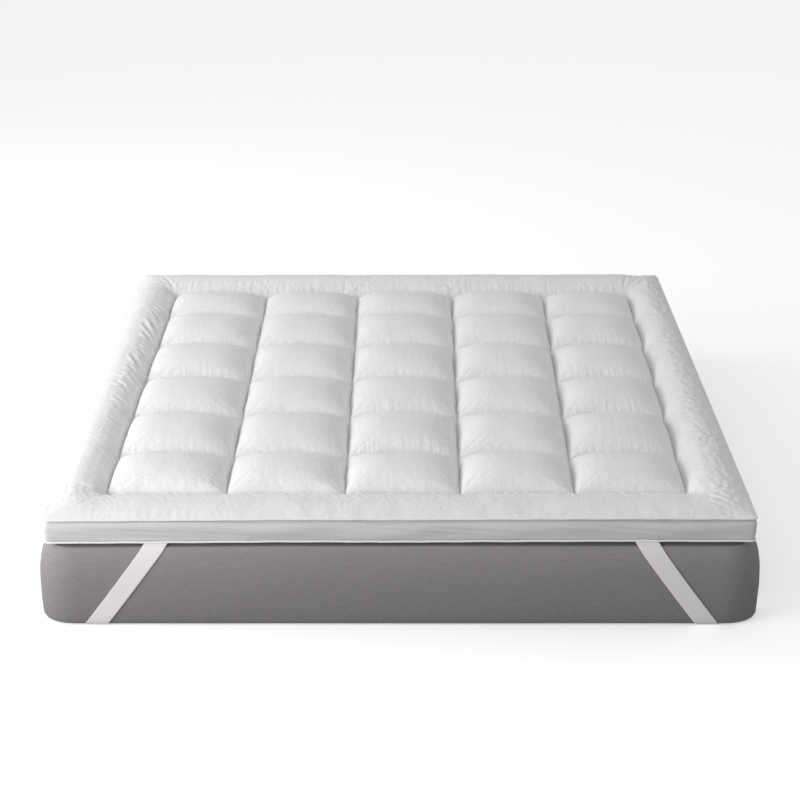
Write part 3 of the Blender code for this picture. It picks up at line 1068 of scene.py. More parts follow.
        column = np.clip(at["section_x"] - 1, 0, last_x - 2)
        row = np.clip(at["section_y"] - 1, 0, last_y - 2)
        crown = np.array(self.column_crowns)[column] * np.array(self.row_shares)[row] + lumps
        panel = self.seam_height + (
            crown * self.box_across.height(at["share_x"]) * self.box_along.height(at["share_y"]))

        z = np.where(outer > 0, border, panel) - self.pits(x, y)
        places = np.stack([x, y, z], axis=2)
        self.round_rim(places)
        return places

    def from_corner(self, x: np.ndarray, y: np.ndarray) -> np.ndarray:
        """Each place's distance from the nearest of the topper's corners."""
        return np.hypot(self.plan.half_x - np.abs(x), self.plan.half_y - np.abs(y))

    def pits(self, x: np.ndarray, y: np.ndarray) -> np.ndarray:
        """How much deeper the cloth lies where seams cross, most where a row's seam meets the border.

        Args:
            x: The grid's x.
            y: The grid's y.

        Returns:
            The extra depth at each point.
        """
        depth = np.zeros_like(x)
        beside_border = {0: self.left_pit, len(self.columns) - 1: self.right_pit}
        for row in self.rows:
            for number, (seam, lean) in enumerate(self.columns):
                away = x - seam - lean * row
                pit, along, across = beside_border.get(number, self.crossing_pit)
                reach = along * MM
                if number in beside_border:
                    outside = away < 0 if number == 0 else away > 0
                    reach = np.where(outside, self.pit_outward, reach)
                depth += pit * MM * np.exp(-(away / reach) ** 2 - ((y - row) / (across * MM)) ** 2)
        return depth

    # -- simulation -----------------------------------------------------------------------------------

    def cut_cloth(self, start: np.ndarray) -> np.ndarray:
        """The flat cloth that the top was cut from, as [row, column, xyz].

        Each grid line is as far from the next on the flat cloth as it is over the middles of the boxes,
        so the cloth is too long beside its seams and gathers there.

        Args:
            start: The puffed form.

        Returns:
            The flat form.
        """
        lengths = []
        for lines, cut in ((start, self.along), (start.swapaxes(0, 1), self.across)):
            seams = cut.seams()
            middles = [(low + high) // 2 for low, high in zip(seams[1:-2], seams[2:-1])]
            step = np.linalg.norm(np.diff(lines[middles], axis=1), axis=2).mean(axis=0) * (1 + self.slack)
            lengths.append(np.concatenate([[0], np.cumsum(step)]))
        x, y = np.meshgrid(*lengths)
        return np.stack([x, y, np.zeros_like(x)], axis=2)

    def settle(self, start: np.ndarray) -> np.ndarray:
        """Lets the cut cloth settle over its filling, held at its seams.

        Args:
            start: The puffed form.

        Returns:
            The settled form, with no point moved further than most_moved.
        """
        cloth = add_grid("settling cloth", start)
        cloth.shape_key_add(name="puffed")
        flat = cloth.shape_key_add(name="cut")
        flat.data.foreach_set("co", self.cut_cloth(start).astype(np.float32).ravel())
        sewn = np.zeros(start.shape[:2], bool)
        sewn[[0, -1]] = sewn[:, [0, -1]] = True
        columns, rows = self.across.seams()[1:-1], self.along.seams()[1:-1]
        sewn[rows[:, None], np.arange(columns[0], columns[-1] + 1)] = True
        sewn[np.arange(rows[0], rows[-1] + 1)[:, None], columns] = True
        group = cloth.vertex_groups.new(name="sewn")
        group.add(np.nonzero(sewn.ravel())[0].tolist(), 1.0, "REPLACE")

        modifier = cloth.modifiers.new("cloth", "CLOTH")
        settings = modifier.settings
        settings.quality = 5
        settings.mass = 0.001
        settings.tension_stiffness = settings.compression_stiffness = 15
        settings.shear_stiffness = 2
        settings.bending_stiffness = 0.004
        settings.air_damping = 1
        settings.vertex_group_mass = group.name
        settings.rest_shape_key = flat
        settings.use_pressure = True
        settings.uniform_pressure_force = self.pressure
        settings.effector_weights.gravity = 0
        modifier.collision_settings.use_collision = False
        modifier.point_cache.frame_end = self.frames
        for number in range(1, self.frames + 1):
            bpy.context.scene.frame_set(number)
        settled = cloth.evaluated_get(bpy.context.evaluated_depsgraph_get())
        moved = vertices_of(settled).reshape(start.shape) - start
        bpy.data.objects.remove(cloth)
        bpy.context.scene.frame_set(1)
        far = np.linalg.norm(moved, axis=2, keepdims=True)
        log.info("cloth settled: moved %.1f mm at most", far.max() / MM)
        return start + moved * np.minimum(1, self.most_moved / np.maximum(far, TINY))

    # -- creases --------------------------------------------------------------------------------------

    def creased(self, places: np.ndarray) -> np.ndarray:
        """Adds every crease, gather and pucker to the finished grid."""
        lift = self.border_lift(places)
        columns, rows = (cut.finer(self.factor).seams()[1:-1] for cut in (self.across, self.along))
        for row, (low, high) in enumerate(zip(rows, rows[1:])):
            for column, (left, right) in enumerate(zip(columns, columns[1:])):
                block = (slice(low, high + 1), slice(left, right + 1))
                lift[block] = self.box_lift(places[block], row, column)
        made = places + outward_normals(places) * lift[..., None]
        made[..., 2] -= self.crevices(places, columns, rows)
        return made

    def crevices(self, places: np.ndarray, columns: np.ndarray, rows: np.ndarray) -> np.ndarray:
        """How far the cloth is drawn in right beside the seams.

        Args:
            places: The whole top's grid.
            columns: The numbers of the grid lines along the seams between columns.
            rows: The same for the seams between rows.

        Returns:
            The extra depth at each point.
        """
        x, y = places[..., 0], places[..., 1]
        from_column = np.min([np.abs(x - x[:, [number]]) for number in columns], axis=0)
        from_row = np.min([np.abs(y - y[[number]]) for number in rows], axis=0)
        from_column = np.hypot(from_column, np.maximum(np.maximum(y[rows[0]] - y, y - y[rows[-1]]), 0))
        past = np.maximum(x[:, [columns[0]]] - x, x - x[:, [columns[-1]]])
        from_row = np.hypot(from_row, np.maximum(past, 0))
        return np.maximum(self.column_crevice * np.exp(-(from_column / self.crevice_reach) ** 2),
                          self.row_crevice * np.exp(-(from_row / self.crevice_reach) ** 2))

    def box_lift(self, box: np.ndarray, row: int, column: int) -> np.ndarray:
        """The puckers along one box's four edges.

        Args:
            box: The box's points, as [row, column, xyz].
            row: The box's row, from the foot end.
            column: The box's column, from the left.

        Returns:
            How far each point is lifted.
        """
        x, y = box[..., 0], box[..., 1]
        left, right = x - x[:, :1], x[:, -1:] - x
        front, back = y - y[:1], y[-1:] - y
        wide, long = float(x[0, -1] - x[0, 0]), float(y[-1, 0] - y[0, 0])
        edges = (  # distance along, distance away, length, strength, lean, reach
            (left, front, wide, self.front_puckers[row][column], 0.10, 0.011),
            (left, back, wide, self.back_pucker, 0.00, 0.010),
            (front, right, long, self.right_puckers[column], -0.12, 0.013),
            (front, left, long, self.left_pucker, 0.10, 0.008),
        )
        lift = np.zeros_like(x)
        for number, (along, away, length, strength, lean, reach) in enumerate(edges):
            seed = 1000 + 40 * row + 8 * column + number
            for pitch, height in self.pucker_waves:
                waves, spread = ripple(along + lean * away, length, pitch, seed)
                ends = np.clip(4 * along * (length - along) / length ** 2, 0, 1) ** 0.5
                lift += strength * height * MM * waves * rise(away, reach * spread) * ends
                seed += 500
        across, along, height, fade = self.box_crinkle
        inside = np.clip(np.minimum(np.minimum(left, right), np.minimum(front, back)) / fade, 0, 1)
        return lift + height * ridges(x, y, across, along, 41) * inside

    def border_lift(self, places: np.ndarray) -> np.ndarray:
        """The border's creases, its gathers beside the inner seam and its crinkle.

        Args:
            places: The whole top's grid.

        Returns:
            How far each point is lifted.
        """
        x, y = places[..., 0], places[..., 1]
        left_seam = self.columns[0][0]
        away = {
            Side.LEFT: left_seam - x, Side.RIGHT: x - self.columns[-1][0] - self.columns[-1][1] * y,
            Side.FOOT: self.rows[0] - y, Side.HEAD: y - self.rows[-1],
        }
        lift = np.zeros_like(x)
        ends, sides = (Side.FOOT, Side.HEAD), (Side.LEFT, Side.RIGHT)
        before, length = self.gather_run
        for number, (side, strength, lean, reach, broadest) in enumerate(self.gathers):
            run, others = (y, ends) if side in sides else (x, sides)
            past = np.maximum(0, np.maximum(away[others[0]], away[others[1]]))
            strength = strength * np.exp(-(past / self.corner_fade) ** 2)
            for share, height in self.gather_waves:
                pitch = broadest * share
                seed = 3000 + 10 * number + round(1000 * pitch)
                waves, spread = ripple(run + before - lean * away[side], length, pitch, seed)
                lift += strength * height * MM * waves * rise(away[side], reach * spread)
        for start, off, out, up, depth, width in self.left_creases:
            first = (left_seam - off * MM, start)
            lift += crease(x, y, first, (first[0] - out * MM, start + up * MM), depth, width)
        for first_x, first_y, last_x, last_y, depth, width in self.corner_creases:
            lift += crease(x, y, (first_x, first_y), (last_x, last_y), depth, width)
        return lift + self.crinkle(x, y, away)

    def crinkle(self, x: np.ndarray, y: np.ndarray, away: dict[Side, np.ndarray]) -> np.ndarray:
        """The dry crinkle of the border's cloth, strongest towards the right rim.

        Args:
            x: The grid's x.
            y: The grid's y.
            away: Distance out from the panel, for each side.

        Returns:
            How far each point is lifted.
        """
        patch_x, patch_y, reach = self.crinkle_patch
        patch = np.exp(-((x - patch_x) / (0.4 * reach)) ** 2 - ((y - patch_y) / reach) ** 2)
        start, width = self.crinkle_right
        right = np.clip((away[Side.RIGHT] - start) / width, 0, 1)
        left = np.clip(away[Side.LEFT] / self.crinkle_left, 0, 1)
        ends = rise(np.maximum(away[Side.FOOT], away[Side.HEAD]), self.crinkle_ends)
        missing, reach = self.crinkle_calm
        calm = 1 - missing * np.exp(-(self.from_corner(x, y) / reach) ** 2)
        lift = np.zeros_like(x)
        for lean_x, lean_y, across, along, seed, least, size, heights in self.crinkles:
            share = least + (1 - least) * soft_noise(x, y, size, seed + 1)
            height = sum(most * where for most, where in zip(heights, (right, left, ends, patch)))
            lift += height * ridges(x + lean_x * y, y + lean_y * x, across, along, seed) * share
        return MM * calm * lift

    # -- pieces ---------------------------------------------------------------------------------------

    def build(self) -> list[bpy.types.Object]:
        """Builds the border and the columns of boxes.

        Returns:
            The six pieces.
        """
        form = self.puffed()
        flat = self.refined(self.cut_cloth(form)[..., :2])
        form = self.settle(form)
        self.surface = self.creased(self.refined(form))
        seams = self.across.finer(self.factor).seams()[1:-1]
        columns = [
            self.build_column(number, self.surface[:, low:high + 1], flat[:, low:high + 1])
            for number, (low, high) in enumerate(zip(seams, seams[1:]), start=1)
        ]
        return [self.build_border(flat), *columns]

    def refined(self, grid: np.ndarray) -> np.ndarray:
        """The whole top's grid with the finished mesh's steps."""
        longer = refine(grid, self.along, self.factor)
        return refine(longer.swapaxes(0, 1), self.across, self.factor).swapaxes(0, 1)

    def panel_rows(self) -> slice:
        """The finished grid's rows that belong to the boxes."""
        seams = self.along.finer(self.factor).seams()
        return slice(seams[1], seams[-2] + 1)

    def build_column(self, number: int, places: np.ndarray, flat: np.ndarray) -> bpy.types.Object:
        """One column of six boxes, closed below by a wall and a flat underside.

        Args:
            number: The column's number, from the left.
            places: The grid's lines over this column.
            flat: The same points on the flat cloth.

        Returns:
            The piece.
        """
        rows = self.panel_rows()
        column = add_grid(f"quilt_column_{number}", places[rows])
        lay_uv(column, flat[rows])
        middle = places[rows, :, 0].mean()
        edit(column, open_edges(column), "EDGE")
        bpy.ops.mesh.extrude_region_move()
        bpy.ops.object.mode_set(mode="OBJECT")
        self.drop_selected(column, middle)
        bpy.ops.object.mode_set(mode="EDIT")
        bpy.ops.mesh.edge_face_add()
        bpy.ops.object.mode_set(mode="OBJECT")
        smooth(column, 55)
        return column

    def drop_selected(self, obj: bpy.types.Object, middle: float = 0.0) -> None:
        """Moves the selected vertices to the topper's underside, drawn in a little.

        Args:
            obj: The piece.
            middle: The x that they are drawn in towards. The y is 0.
        """
        places, chosen = vertices_of(obj), selected_vertices(obj)
        core = np.array([middle, 0.0])
        places[chosen, :2] = core + (places[chosen, :2] - core) * self.foot_share
        places[chosen, 2] = self.plan.topper_base
        move_vertices(obj, places)

    def build_border(self, flat: np.ndarray) -> bpy.types.Object:
        """The border: a puffed ring round the boxes, closed at its side, underside and inner wall.

        Args:
            flat: The whole grid's places on the flat cloth.

        Returns:
            The piece.
        """
        border = add_grid("topper_border", self.surface)
        lay_uv(border, flat)
        rows, columns = self.panel_rows(), self.across.finer(self.factor).seams()
        inside = np.zeros(np.array(self.surface.shape[:2]) - 1, bool)
        inside[rows.start:rows.stop - 1, columns[1]:columns[-2]] = True
        edit(border, inside.ravel(), "FACE")
        bpy.ops.mesh.delete(type="FACE")
        bpy.ops.object.mode_set(mode="OBJECT")
        edit(border, open_edges(border), "EDGE")
        for shape in (self.tuck_selected, self.drop_selected):
            bpy.ops.mesh.extrude_region_move()
            bpy.ops.object.mode_set(mode="OBJECT")
            shape(border)
            bpy.ops.object.mode_set(mode="EDIT")
        bpy.ops.mesh.bridge_edge_loops()
        bpy.ops.object.mode_set(mode="OBJECT")
        smooth(border, 55)
        return border

    def tuck_selected(self, obj: bpy.types.Object) -> None:
        """Moves the selected vertices of the rim in under the piping, and the others a little down."""
        places, chosen = vertices_of(obj), selected_vertices(obj)
        radius = self.plan.topper_corner
        flat_half = np.array([self.plan.half_x - radius, self.plan.half_y - radius])
        outer = chosen & (np.abs(places[:, :2]) > flat_half).any(axis=1)
        core = np.clip(places[outer, :2], -flat_half, flat_half)
        places[outer, :2] = core + (places[outer, :2] - core) * (1 - self.rim_tuck / radius)
        places[chosen, 2] -= MM
        move_vertices(obj, places)

    def dress(self, pieces: Sequence[bpy.types.Object]) -> None:
        """Gives the border and the columns their cloth."""
        for piece in pieces:
            mount(piece, COVER_COTTON, Slot.COVER, "topper_pad")


@dataclass
class QuiltStitches:
    """The thread that shows in the quilting seams: one joined piece of single stitches."""

    top: QuiltedTop
    pitch: float = 4.2 * MM
    length: float = 3.2 * MM
    thickness: float = 0.8 * MM
    lift: float = 0.5 * MM

    def seams(self) -> list[np.ndarray]:
        """The points along each quilting seam and along the boxes' outer edge."""
        surface, factor = self.top.surface, self.top.factor
        columns, rows = (cut.finer(factor).seams()[1:-1] for cut in (self.top.across, self.top.along))
        return [*(surface[row, columns[0]:columns[-1] + 1] for row in rows),
                *(surface[rows[0]:rows[-1] + 1, column] for column in columns)]

    def build(self) -> bpy.types.Object:
        """Copies one modelled stitch along every seam.

        Returns:
            The joined piece.
        """
        deselect_all()
        bpy.ops.mesh.primitive_uv_sphere_add(segments=3, ring_count=3, radius=0.5)
        model = bpy.context.object
        stitch = vertices_of(model) * (self.thickness, self.thickness, self.length)
        faces = [tuple(face.vertices) for face in model.data.polygons]
        bpy.data.objects.remove(model)
        points, polygons = [], []
        for seam in self.seams():
            gone = way_along(seam)
            stops = np.arange(self.pitch / 2, gone[-1], self.pitch)
            middles = np.stack([np.interp(stops, gone, seam[:, k]) for k in range(3)], axis=1)
            ahead = np.stack([np.interp(stops + MM, gone, seam[:, k]) for k in range(3)], axis=1)
            for middle, forward in zip(middles, ahead - middles):
                forward = forward / max(np.linalg.norm(forward), TINY)
                beside = np.cross((0, 0, 1), forward)
                beside /= max(np.linalg.norm(beside), TINY)
                axes = np.array([beside, np.cross(forward, beside), forward])
                first = len(points) * len(stitch)
                points.append(stitch @ axes + middle + (0, 0, self.lift))
                polygons += [tuple(first + v for v in face) for face in faces]
        mesh = bpy.data.meshes.new("quilting_thread")
        mesh.from_pydata(np.concatenate(points).tolist(), [], polygons)
        thread = bpy.data.objects.new("quilting_thread", mesh)
        bpy.context.scene.collection.objects.link(thread)
        smooth(thread, 80)
        return thread

    def dress(self, thread: bpy.types.Object) -> None:
        """Gives the stitches their thread."""
        mount(thread, SEWING_THREAD, Slot.COVER)


# ---------------------------------------------------------------------------------------------------------
# The side band and its pipings
# ---------------------------------------------------------------------------------------------------------


@dataclass
class SideBand:
    """The strip of satin cotton round the topper's side, with the soft folds that its filling gives it."""

    plan: Plan
    step: float = 6.0 * MM
    rows: int = 18
    row_spread: float = 1.3  # above 1, the rows lie closer together under the upper piping
    cloth: float = 1.2 * MM
    # From the upper seam down: share of the band's height, and how far out it stands, in mm.
    profile: tuple = (
        (0.00, -8.5), (0.09, -8.0), (0.13, -3.0), (0.18, 1.8), (0.27, 4.8), (0.42, 6.4), (0.55, 5.6),
        (0.72, 2.6), (0.86, -0.6), (1.00, -3.8),
    )
    drift: float = 0.17  # how far the fullest line wanders up and down, as a share of the height
    corner_reach: float = 0.06  # how far from each corner the band lies flatter
    corner_flatness: float = 0.6  # the share by which it does so right at the corner
    clearance: float = 0.7  # its edges' distance from the cords' middles, as a share of their radius
    fullness: tuple = (0.8, 0.5)  # the share of the profile that it usually reaches, and how far that changes
    fold_depth: float = 1.6 * MM
    puckers: tuple = (0.4 * MM, 0.017, 0.006)  # height, pitch and reach of the puckers beside each seam

    def build(self) -> bpy.types.Object:
        """Wraps a grid round the topper between its pipings.

        Returns:
            The band, as thick as its cloth.
        """
        plan = self.plan
        length = plan.round_way(plan.topper_corner)
        count = round(length / self.step)
        clear = self.clearance * plan.piping_radius
        top, bottom = plan.upper_seam - clear, plan.lower_seam + clear
        down = np.linspace(1, 0, self.rows + 1) ** self.row_spread
        way, share = np.meshgrid(np.linspace(0, length, count + 1), down)
        shares, outs = (np.array(column) for column in zip(*self.profile))
        turn = 2 * math.pi * way / length
        middle = np.sin(math.pi * share)
        wander = self.drift * ring_noise(turn, wide=1.9, up=0.0, cell=0.28, seed=51)
        out = np.interp(share + wander * middle, shares, outs) * MM
        usual, change = self.fullness
        height = usual + change * ring_noise(turn, wide=2.4, up=0.0, cell=0.33, seed=52)
        edge_x, edge_y, _ = plan.outline(way, plan.topper_corner)
        from_corner = plan.half_x - np.abs(edge_x) + plan.half_y - np.abs(edge_y)
        full = 1 - self.corner_flatness * np.exp(-from_corner / self.corner_reach)
        out = np.where(out > 0, out * height * full, out)
        folds = ring_noise(turn, wide=3.0, up=1.7 * share, cell=0.20, seed=53)
        out += self.fold_depth * folds * middle * full
        depth, pitch, near = self.puckers
        for at_top, seed in ((share, 61), (1 - share, 62)):
            waves, reach = ripple(way, length, pitch, seed)
            out += depth * waves * rise(at_top * (top - bottom), near * reach)
        x, y, _ = plan.outline(way, plan.topper_corner, out)
        z = top + (bottom - top) * share + plan.edge_sag(x, y)
        band = add_grid("side_band", np.stack([x, y, z], axis=2))
        lay_uv(band, np.stack([way, z], axis=2))
        close_ring(band)
        thicken(band, self.cloth)
        smooth(band, 60)
        return band

    def dress(self, band: bpy.types.Object) -> None:
        plan = self.plan
        mount(band, BAND_COTTON, Slot.BAND, "gusset")
        plan.round_way(plan.topper_corner)


@dataclass
class Piping:
    """A cord covered in bias-cut cotton and sewn into one of the side band's seams."""

    plan: Plan
    name: str
    height: float
    seed: int
    step: float = 7.0 * MM
    sides: int = 10
    bumps: tuple = (0.07, 0.020)  # how far it swells, as a share of its radius, and how often
    wander: tuple = (0.5 * MM, 0.11)  # how far it wanders up and down, and how often
    calm: float = 0.02  # how near the place where its ends meet both fade

    def build(self) -> bpy.types.Object:
        """Wraps a grid into a tube round the topper.

        Returns:
            The piping.
        """
        plan = self.plan
        length = plan.round_way(plan.topper_corner)
        count = round(length / self.step)
        way, turn = np.meshgrid(
            np.linspace(0, length, count + 1), np.linspace(0, 2 * math.pi, self.sides + 1))
        ends = np.clip(np.minimum(way, length - way) / self.calm, 0, 1)
        swell, pitch = self.bumps
        radius = plan.piping_radius * (1 + swell * ripple(way, length, pitch, self.seed)[0] * ends)
        x, y, _ = plan.outline(way, plan.topper_corner, -radius * np.cos(turn))
        far, pitch = self.wander
        wander = far * ripple(way, length, pitch, self.seed + 1)[0] * ends
        z = self.height + plan.edge_sag(x, y) - radius * np.sin(turn) + wander
        piping = add_grid(f"{self.name}_cord", np.stack([x, y, z], axis=2))
        lay_uv(piping, np.stack([way, turn * plan.piping_radius], axis=2))
        close_ring(piping)
        smooth(piping, 75)
        return piping

    def dress(self, piping: bpy.types.Object) -> None:
        """Gives the piping its cloth."""
        mount(piping, PIPING_COTTON, Slot.PIPING, self.name)


# ---------------------------------------------------------------------------------------------------------
# The mattress and the straps
# ---------------------------------------------------------------------------------------------------------


@dataclass
class Mattress:
    """The plain mattress: soft sides that stand out past the topper and turn in under it."""

    plan: Plan
    corner: float = 0.070
    # Its side, from the flat underside to the flat top: share of the way up, how far the ends stand out,
    # how much further the two long sides do, and the height, all in mm. The straps pass under it.
    profile: tuple = (
        (0.00, -2.0, 20.0, 2.5),
        (0.04, 2.5, 20.0, 3.2),
        (0.09, 6.0, 20.0, 7.0),
        (0.14, 9.0, 19.0, 14.0),
        (0.20, 11.5, 17.0, 24.0),
        (0.35, 15.5, 14.0, 60.0),
        (0.50, 18.0, 12.0, 105.0),
        (0.62, 18.5, 9.5, 145.0),
        (0.70, 16.5, 6.0, 175.0),
        (0.76, 12.5, 4.0, 198.0),
        (0.80, 8.5, 2.0, 210.0),
        (0.86, 2.5, 0.0, 219.5),
        (0.92, -5.0, 0.0, 225.0),
        (1.00, -17.0, 0.0, 230.0),
    )
    # Its soft lumps and its long low bands: height in mm, the ring's radius and the stretch up the side in
    # the noise, size and seed.
    lumps: tuple = ((1.4, 2.2, 2.5, 0.35, 71), (0.7, 0.9, 9.0, 0.30, 72))
    step: float = 0.016
    side_rows: int = 46

    def side(self, share: np.ndarray, long_side: np.ndarray | float) -> tuple:
        """The mattress's side, from its flat underside at 0 to its flat top at 1.

        Args:
            share: 0 to 1 up the side.
            long_side: 0 on the two ends, 1 on the two long sides, and between them round a corner.

        Returns:
            How far out and how high each place is, and the way out of the surface there.
        """
        knots, ends, further, heights = zip(*self.profile)

        def place(at: np.ndarray) -> tuple[np.ndarray, np.ndarray]:
            """How far out and how high the side is."""
            out = curve(at, knots, ends) + long_side * curve(at, knots, further)
            return out * MM, curve(at, knots, heights) * MM

        below, above = place(np.clip(share - 0.002, 0, 1)), place(np.clip(share + 0.002, 0, 1))
        outward, upward = above[0] - below[0], above[1] - below[1]
        size = np.hypot(outward, upward)
        return (*place(share), upward / size, -outward / size)

    def build(self) -> bpy.types.Object:
        """Wraps a grid round the mattress and closes its top and underside.

        Returns:
            The mattress.
        """
        plan = self.plan
        length = plan.round_way(self.corner)
        count = round(length / self.step)
        way, share = np.meshgrid(np.linspace(0, length, count + 1), np.linspace(0, 1, self.side_rows + 1))
        _, _, out_x = plan.outline(way, self.corner)
        out, up, _, _ = self.side(share, out_x ** 2)
        turn = 2 * math.pi * way / length
        lumps = sum(height * ring_noise(turn, wide, tall * up, cell, seed)
                    for height, wide, tall, cell, seed in self.lumps)
        out = out + lumps * MM * np.sin(math.pi * np.clip(share, 0.1, 0.9))
        x, y, _ = plan.outline(way, self.corner, out)
        mattress = add_grid("mattress_body", np.stack([x, y, plan.pressed(x, y, up)], axis=2))
        lay_uv(mattress, np.stack([way, up], axis=2))
        close_ring(mattress)
        edit(mattress, open_edges(mattress), "EDGE")
        bpy.ops.mesh.edge_face_add()
        bpy.ops.object.mode_set(mode="OBJECT")
        smooth(mattress, 40)
        return mattress

    def dress(self, mattress: bpy.types.Object) -> None:
        """Gives the mattress its ticking."""
        mount(mattress, MATTRESS_TICKING, Slot.TICKING, "mattress")


@dataclass
class CornerStrap:
    """A flat elastic tape from the topper's lower seam, round under one corner and up the next side."""

    plan: Plan
    mattress: Mattress
    corner: str
    sign_x: int
    sign_y: int
    shift: float = 0.0  # how much nearer its corner this strap lies than the others
    width: float = 0.048
    top_from_corner: float = 0.282
    foot_from_corner: float = 0.116
    held_at: float = 0.90  # share of the way up the mattress's side where the strap leaves it for its seam
    gap: float = 1.0 * MM
    cloth: float = 1.5 * MM
    ribs: int = 12
    rib_depth: float = 0.28 * MM
    leg_steps: int = 60
    under_steps: int = 30
    selvedge: float = 0.06  # share of the width that is flat at each edge
    edge_drop: float = 0.5 * MM  # how far the very edges are rounded off
    edge_width: float = 0.02  # the share of the width over which they are
    straight_from: float = 0.96  # share of the way up a leg from which it runs straight to its seam

    def leg(self, share: np.ndarray, long_side: float) -> tuple[np.ndarray, ...]:
        """One leg of the strap, from under the mattress at 0 up to the piping at 1.

        Args:
            share: 0 to 1 up the leg.
            long_side: 1 for the leg on the mattress's long side, 0 for the one on its end.

        Returns:
            How far out and how high it lies, and its distance from the corner at its two edges.
        """
        out, up, normal_out, normal_up = self.mattress.side(share * self.held_at, long_side)
        _, highest, _, _ = self.mattress.side(np.array(self.held_at), long_side)
        straight = np.clip((share - self.straight_from) / (1 - self.straight_from), 0, 1)
        up = up + straight * (self.plan.lower_seam - self.plan.piping_radius - highest)
        off = self.gap + self.cloth
        drift = self.top_from_corner - self.foot_from_corner
        along = self.foot_from_corner - self.shift + drift * up / self.plan.mattress_top
        half = self.width / math.cos(math.atan2(drift, self.plan.mattress_top)) / 2
        return out + normal_out * off, up + normal_up * off, along + half, along - half

    def rungs(self) -> np.ndarray:
        """The strap's two edges, rung by rung, at the corner where x and y are positive.

        Returns:
            The places of the edges far from the corner and near it, as [rung, edge, xyz].
        """
        half_x, half_y = self.plan.half_x, self.plan.half_y
        share = np.linspace(1, 0, self.leg_steps + 1)
        out, up, far, near = self.leg(share, 0.0)
        on_end = np.stack(
            [np.stack([half_x - edge, half_y + out, up], axis=1) for edge in (far, near)], axis=1)
        out, up, far, near = self.leg(share, 1.0)
        on_side = np.stack(
            [np.stack([half_x + out, half_y - edge, up], axis=1) for edge in (far, near)], axis=1)[::-1]
        steps = np.linspace(0, 1, self.under_steps + 1)[1:-1, None, None]
        under = on_end[-1] * (1 - steps) + on_side[0] * steps
        return np.concatenate([on_end, under, on_side])

    def build(self) -> bpy.types.Object:
        """Lays a ribbed grid along the strap's route and gives it its thickness.

        Returns:
            The strap.
        """
        rungs = self.rungs()
        count = 3 * self.ribs
        share = np.linspace(0, 1, count + 1)
        places = rungs[:, :1] * (1 - share[None, :, None]) + rungs[:, 1:] * share[None, :, None]
        inside = np.clip(np.minimum(share, 1 - share) / self.selvedge, 0, 1)
        relief = -self.rib_depth * inside * (0.5 - 0.5 * np.cos(2 * math.pi * self.ribs * share))
        at_edge = np.clip(1 - np.minimum(share, 1 - share) / self.edge_width, 0, 1)
        relief = relief - self.edge_drop * at_edge ** 2
        places = places + outward_normals(places) * relief[None, :, None]
        u, v = np.meshgrid(share * self.width, way_along(rungs.mean(axis=1)))
        places = places * (self.sign_x, self.sign_y, 1)
        places[..., 2] = self.plan.pressed(*np.moveaxis(places, 2, 0))
        if self.sign_x * self.sign_y < 0:
            places, u, v = places[:, ::-1], u[:, ::-1], v[:, ::-1]
        strap = add_grid(f"elastic_{self.corner}", places)
        lay_uv(strap, np.stack([u, v], axis=2))
        thicken(strap, self.cloth)
        smooth(strap, 50)
        return strap

    def dress(self, strap: bpy.types.Object) -> None:
        """Gives the strap its elastic."""
        length = float(way_along(self.rungs().mean(axis=1))[-1])
        mount(strap, STRAP_ELASTIC, Slot.ELASTIC, f"strap_{self.corner}")


# ---------------------------------------------------------------------------------------------------------
# The studio
# ---------------------------------------------------------------------------------------------------------


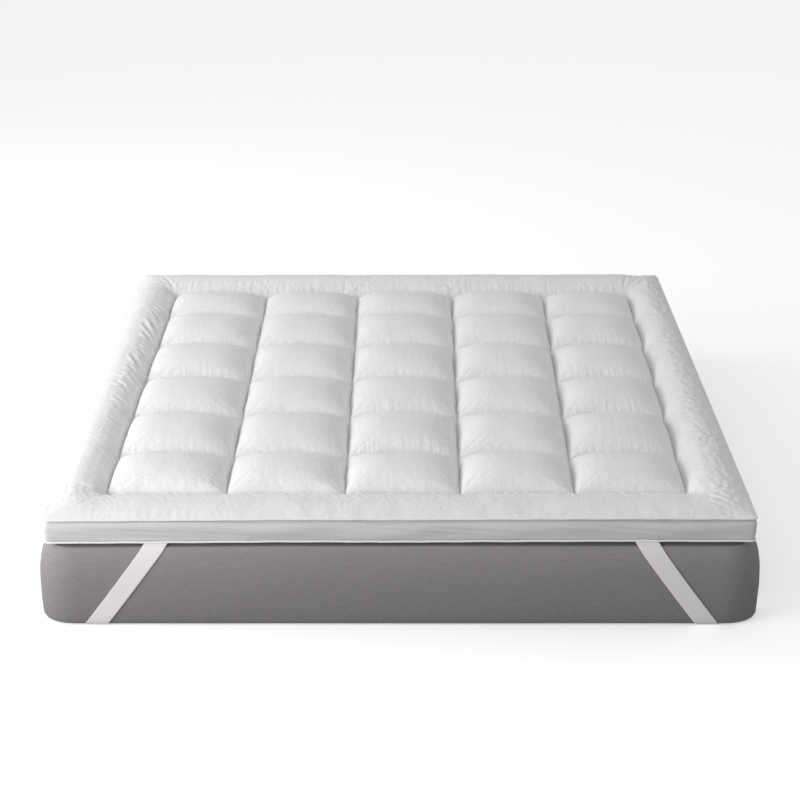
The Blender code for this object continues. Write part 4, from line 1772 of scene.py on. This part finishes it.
@dataclass(frozen=True)
class Studio:
    """Pale floor, soft light and the camera."""

    camera_place: tuple = (0.0, -5.296, 2.303)
    pitch_down: float = 21.4  # degrees below the horizon
    lens_mm: float = 84.6
    sensor_mm: float = 36.0
    floor_size: float = 60.0
    # Each soft light's name, degrees round from the left towards the foot end, degrees up, distance,
    # size and brightness on the bed, which is 1 where white cloth facing it turns pure white.
    lights: tuple = (
        ("left_light", -15.0, 25.0, 4.0, 2.2, 0.29),
        ("front_light", 40.0, 12.0, 4.0, 2.2, 0.54),
    )
    aim_height: float = 0.3
    sky_strength: float = 0.515
    ground_strength: float = 0.29  # light from below, dimmer than a white floor would throw it back
    horizon: float = 0.15  # how softly the one turns into the other

    def build(self) -> None:
        """Adds the floor, the sky, the soft lights and the camera."""
        deselect_all()
        bpy.ops.mesh.primitive_plane_add(size=self.floor_size)
        floor = bpy.context.object
        floor.name = "floor"
        floor.data.materials.append(PAPER_FLOOR.material())
        floor.visible_diffuse = False  # it takes the bed's shadow, but throws no light back at it
        self.build_sky()
        for name, round_way, up, distance, size, brightness in self.lights:
            self.add_light(name, math.radians(round_way), math.radians(up), distance, size, brightness)

        bpy.ops.object.camera_add(location=self.camera_place)
        camera = bpy.context.object
        camera.name = "camera"
        camera.rotation_euler = (math.radians(90 - self.pitch_down), 0.0, 0.0)
        camera.data.lens = self.lens_mm
        camera.data.sensor_width = self.sensor_mm
        bpy.context.scene.camera = camera

    def build_sky(self) -> None:
        """Surrounds the scene with white light, dimmer from below the horizon."""
        world = bpy.data.worlds.new("studio")
        world.use_nodes = True
        tree = world.node_tree
        way = add_node(tree, "ShaderNodeTexCoord").outputs["Generated"]
        up = add_node(tree, "ShaderNodeSeparateXYZ", {"Vector": way}).outputs["Z"]
        strength = add_node(
            tree, "ShaderNodeMapRange",
            {"Value": up, "From Min": -self.horizon, "From Max": self.horizon,
             "To Min": self.ground_strength, "To Max": self.sky_strength},
        )
        strength.name = "sky strength"
        sky = tree.nodes["Background"]
        sky.inputs["Color"].default_value = (1.0, 1.0, 1.0, 1.0)
        tree.links.new(strength.outputs["Result"], sky.inputs["Strength"])
        bpy.context.scene.world = world
        bpy.context.scene.view_settings.view_transform = "Standard"

    def add_light(self, name: str, round_way: float, up: float, distance: float, size: float,
                  brightness: float) -> None:
        """Adds a soft square light that faces the bed.

        Args:
            name: The light's name.
            round_way: Its angle round from the left towards the foot end.
            up: Its angle over the horizon.
            distance: Its distance from the middle of the bed.
            size: The length of its sides.
            brightness: How brightly it lights the bed.
        """
        flat = distance * math.cos(up)
        place = (-flat * math.cos(round_way), -flat * math.sin(round_way),
                 self.aim_height + distance * math.sin(up))
        bpy.ops.object.light_add(type="AREA", location=place)
        light = bpy.context.object
        light.name = name
        light.data.size = size
        light.data.energy = brightness * (math.pi * distance) ** 2
        light.rotation_euler = self.aim(place, (0.0, 0.0, self.aim_height))

    def aim(self, place: tuple, target: tuple) -> tuple[float, float, float]:
        """The turn that points a light at this place towards a target."""
        x, y, z = (t - p for t, p in zip(target, place))
        return (math.atan2(math.hypot(x, y), -z), 0.0, math.atan2(-x, y))


def main() -> None:
    """Builds and dresses every sub-assembly in order."""
    logging.basicConfig(level=logging.INFO, format="%(message)s")
    plan = Plan.from_frame()
    Studio().build()

    mattress = Mattress(plan)
    mattress.dress(mattress.build())

    top = QuiltedTop(plan)
    top.dress(top.build())
    stitches = QuiltStitches(top)
    stitches.dress(stitches.build())

    band = SideBand(plan)
    band.dress(band.build())
    for name, height, seed in (("piping_top", plan.upper_seam, 81), ("piping_bottom", plan.lower_seam, 91)):
        piping = Piping(plan, name, height, seed)
        piping.dress(piping.build())

    corners = (("front_left", -1, -1, 0.0), ("front_right", 1, -1, 0.008),
               ("back_left", -1, 1, 0.0), ("back_right", 1, 1, 0.0))
    for name, sign_x, sign_y, shift in corners:
        strap = CornerStrap(plan, mattress, name, sign_x, sign_y, shift)
        strap.dress(strap.build())


if __name__ == "__main__":
    main()
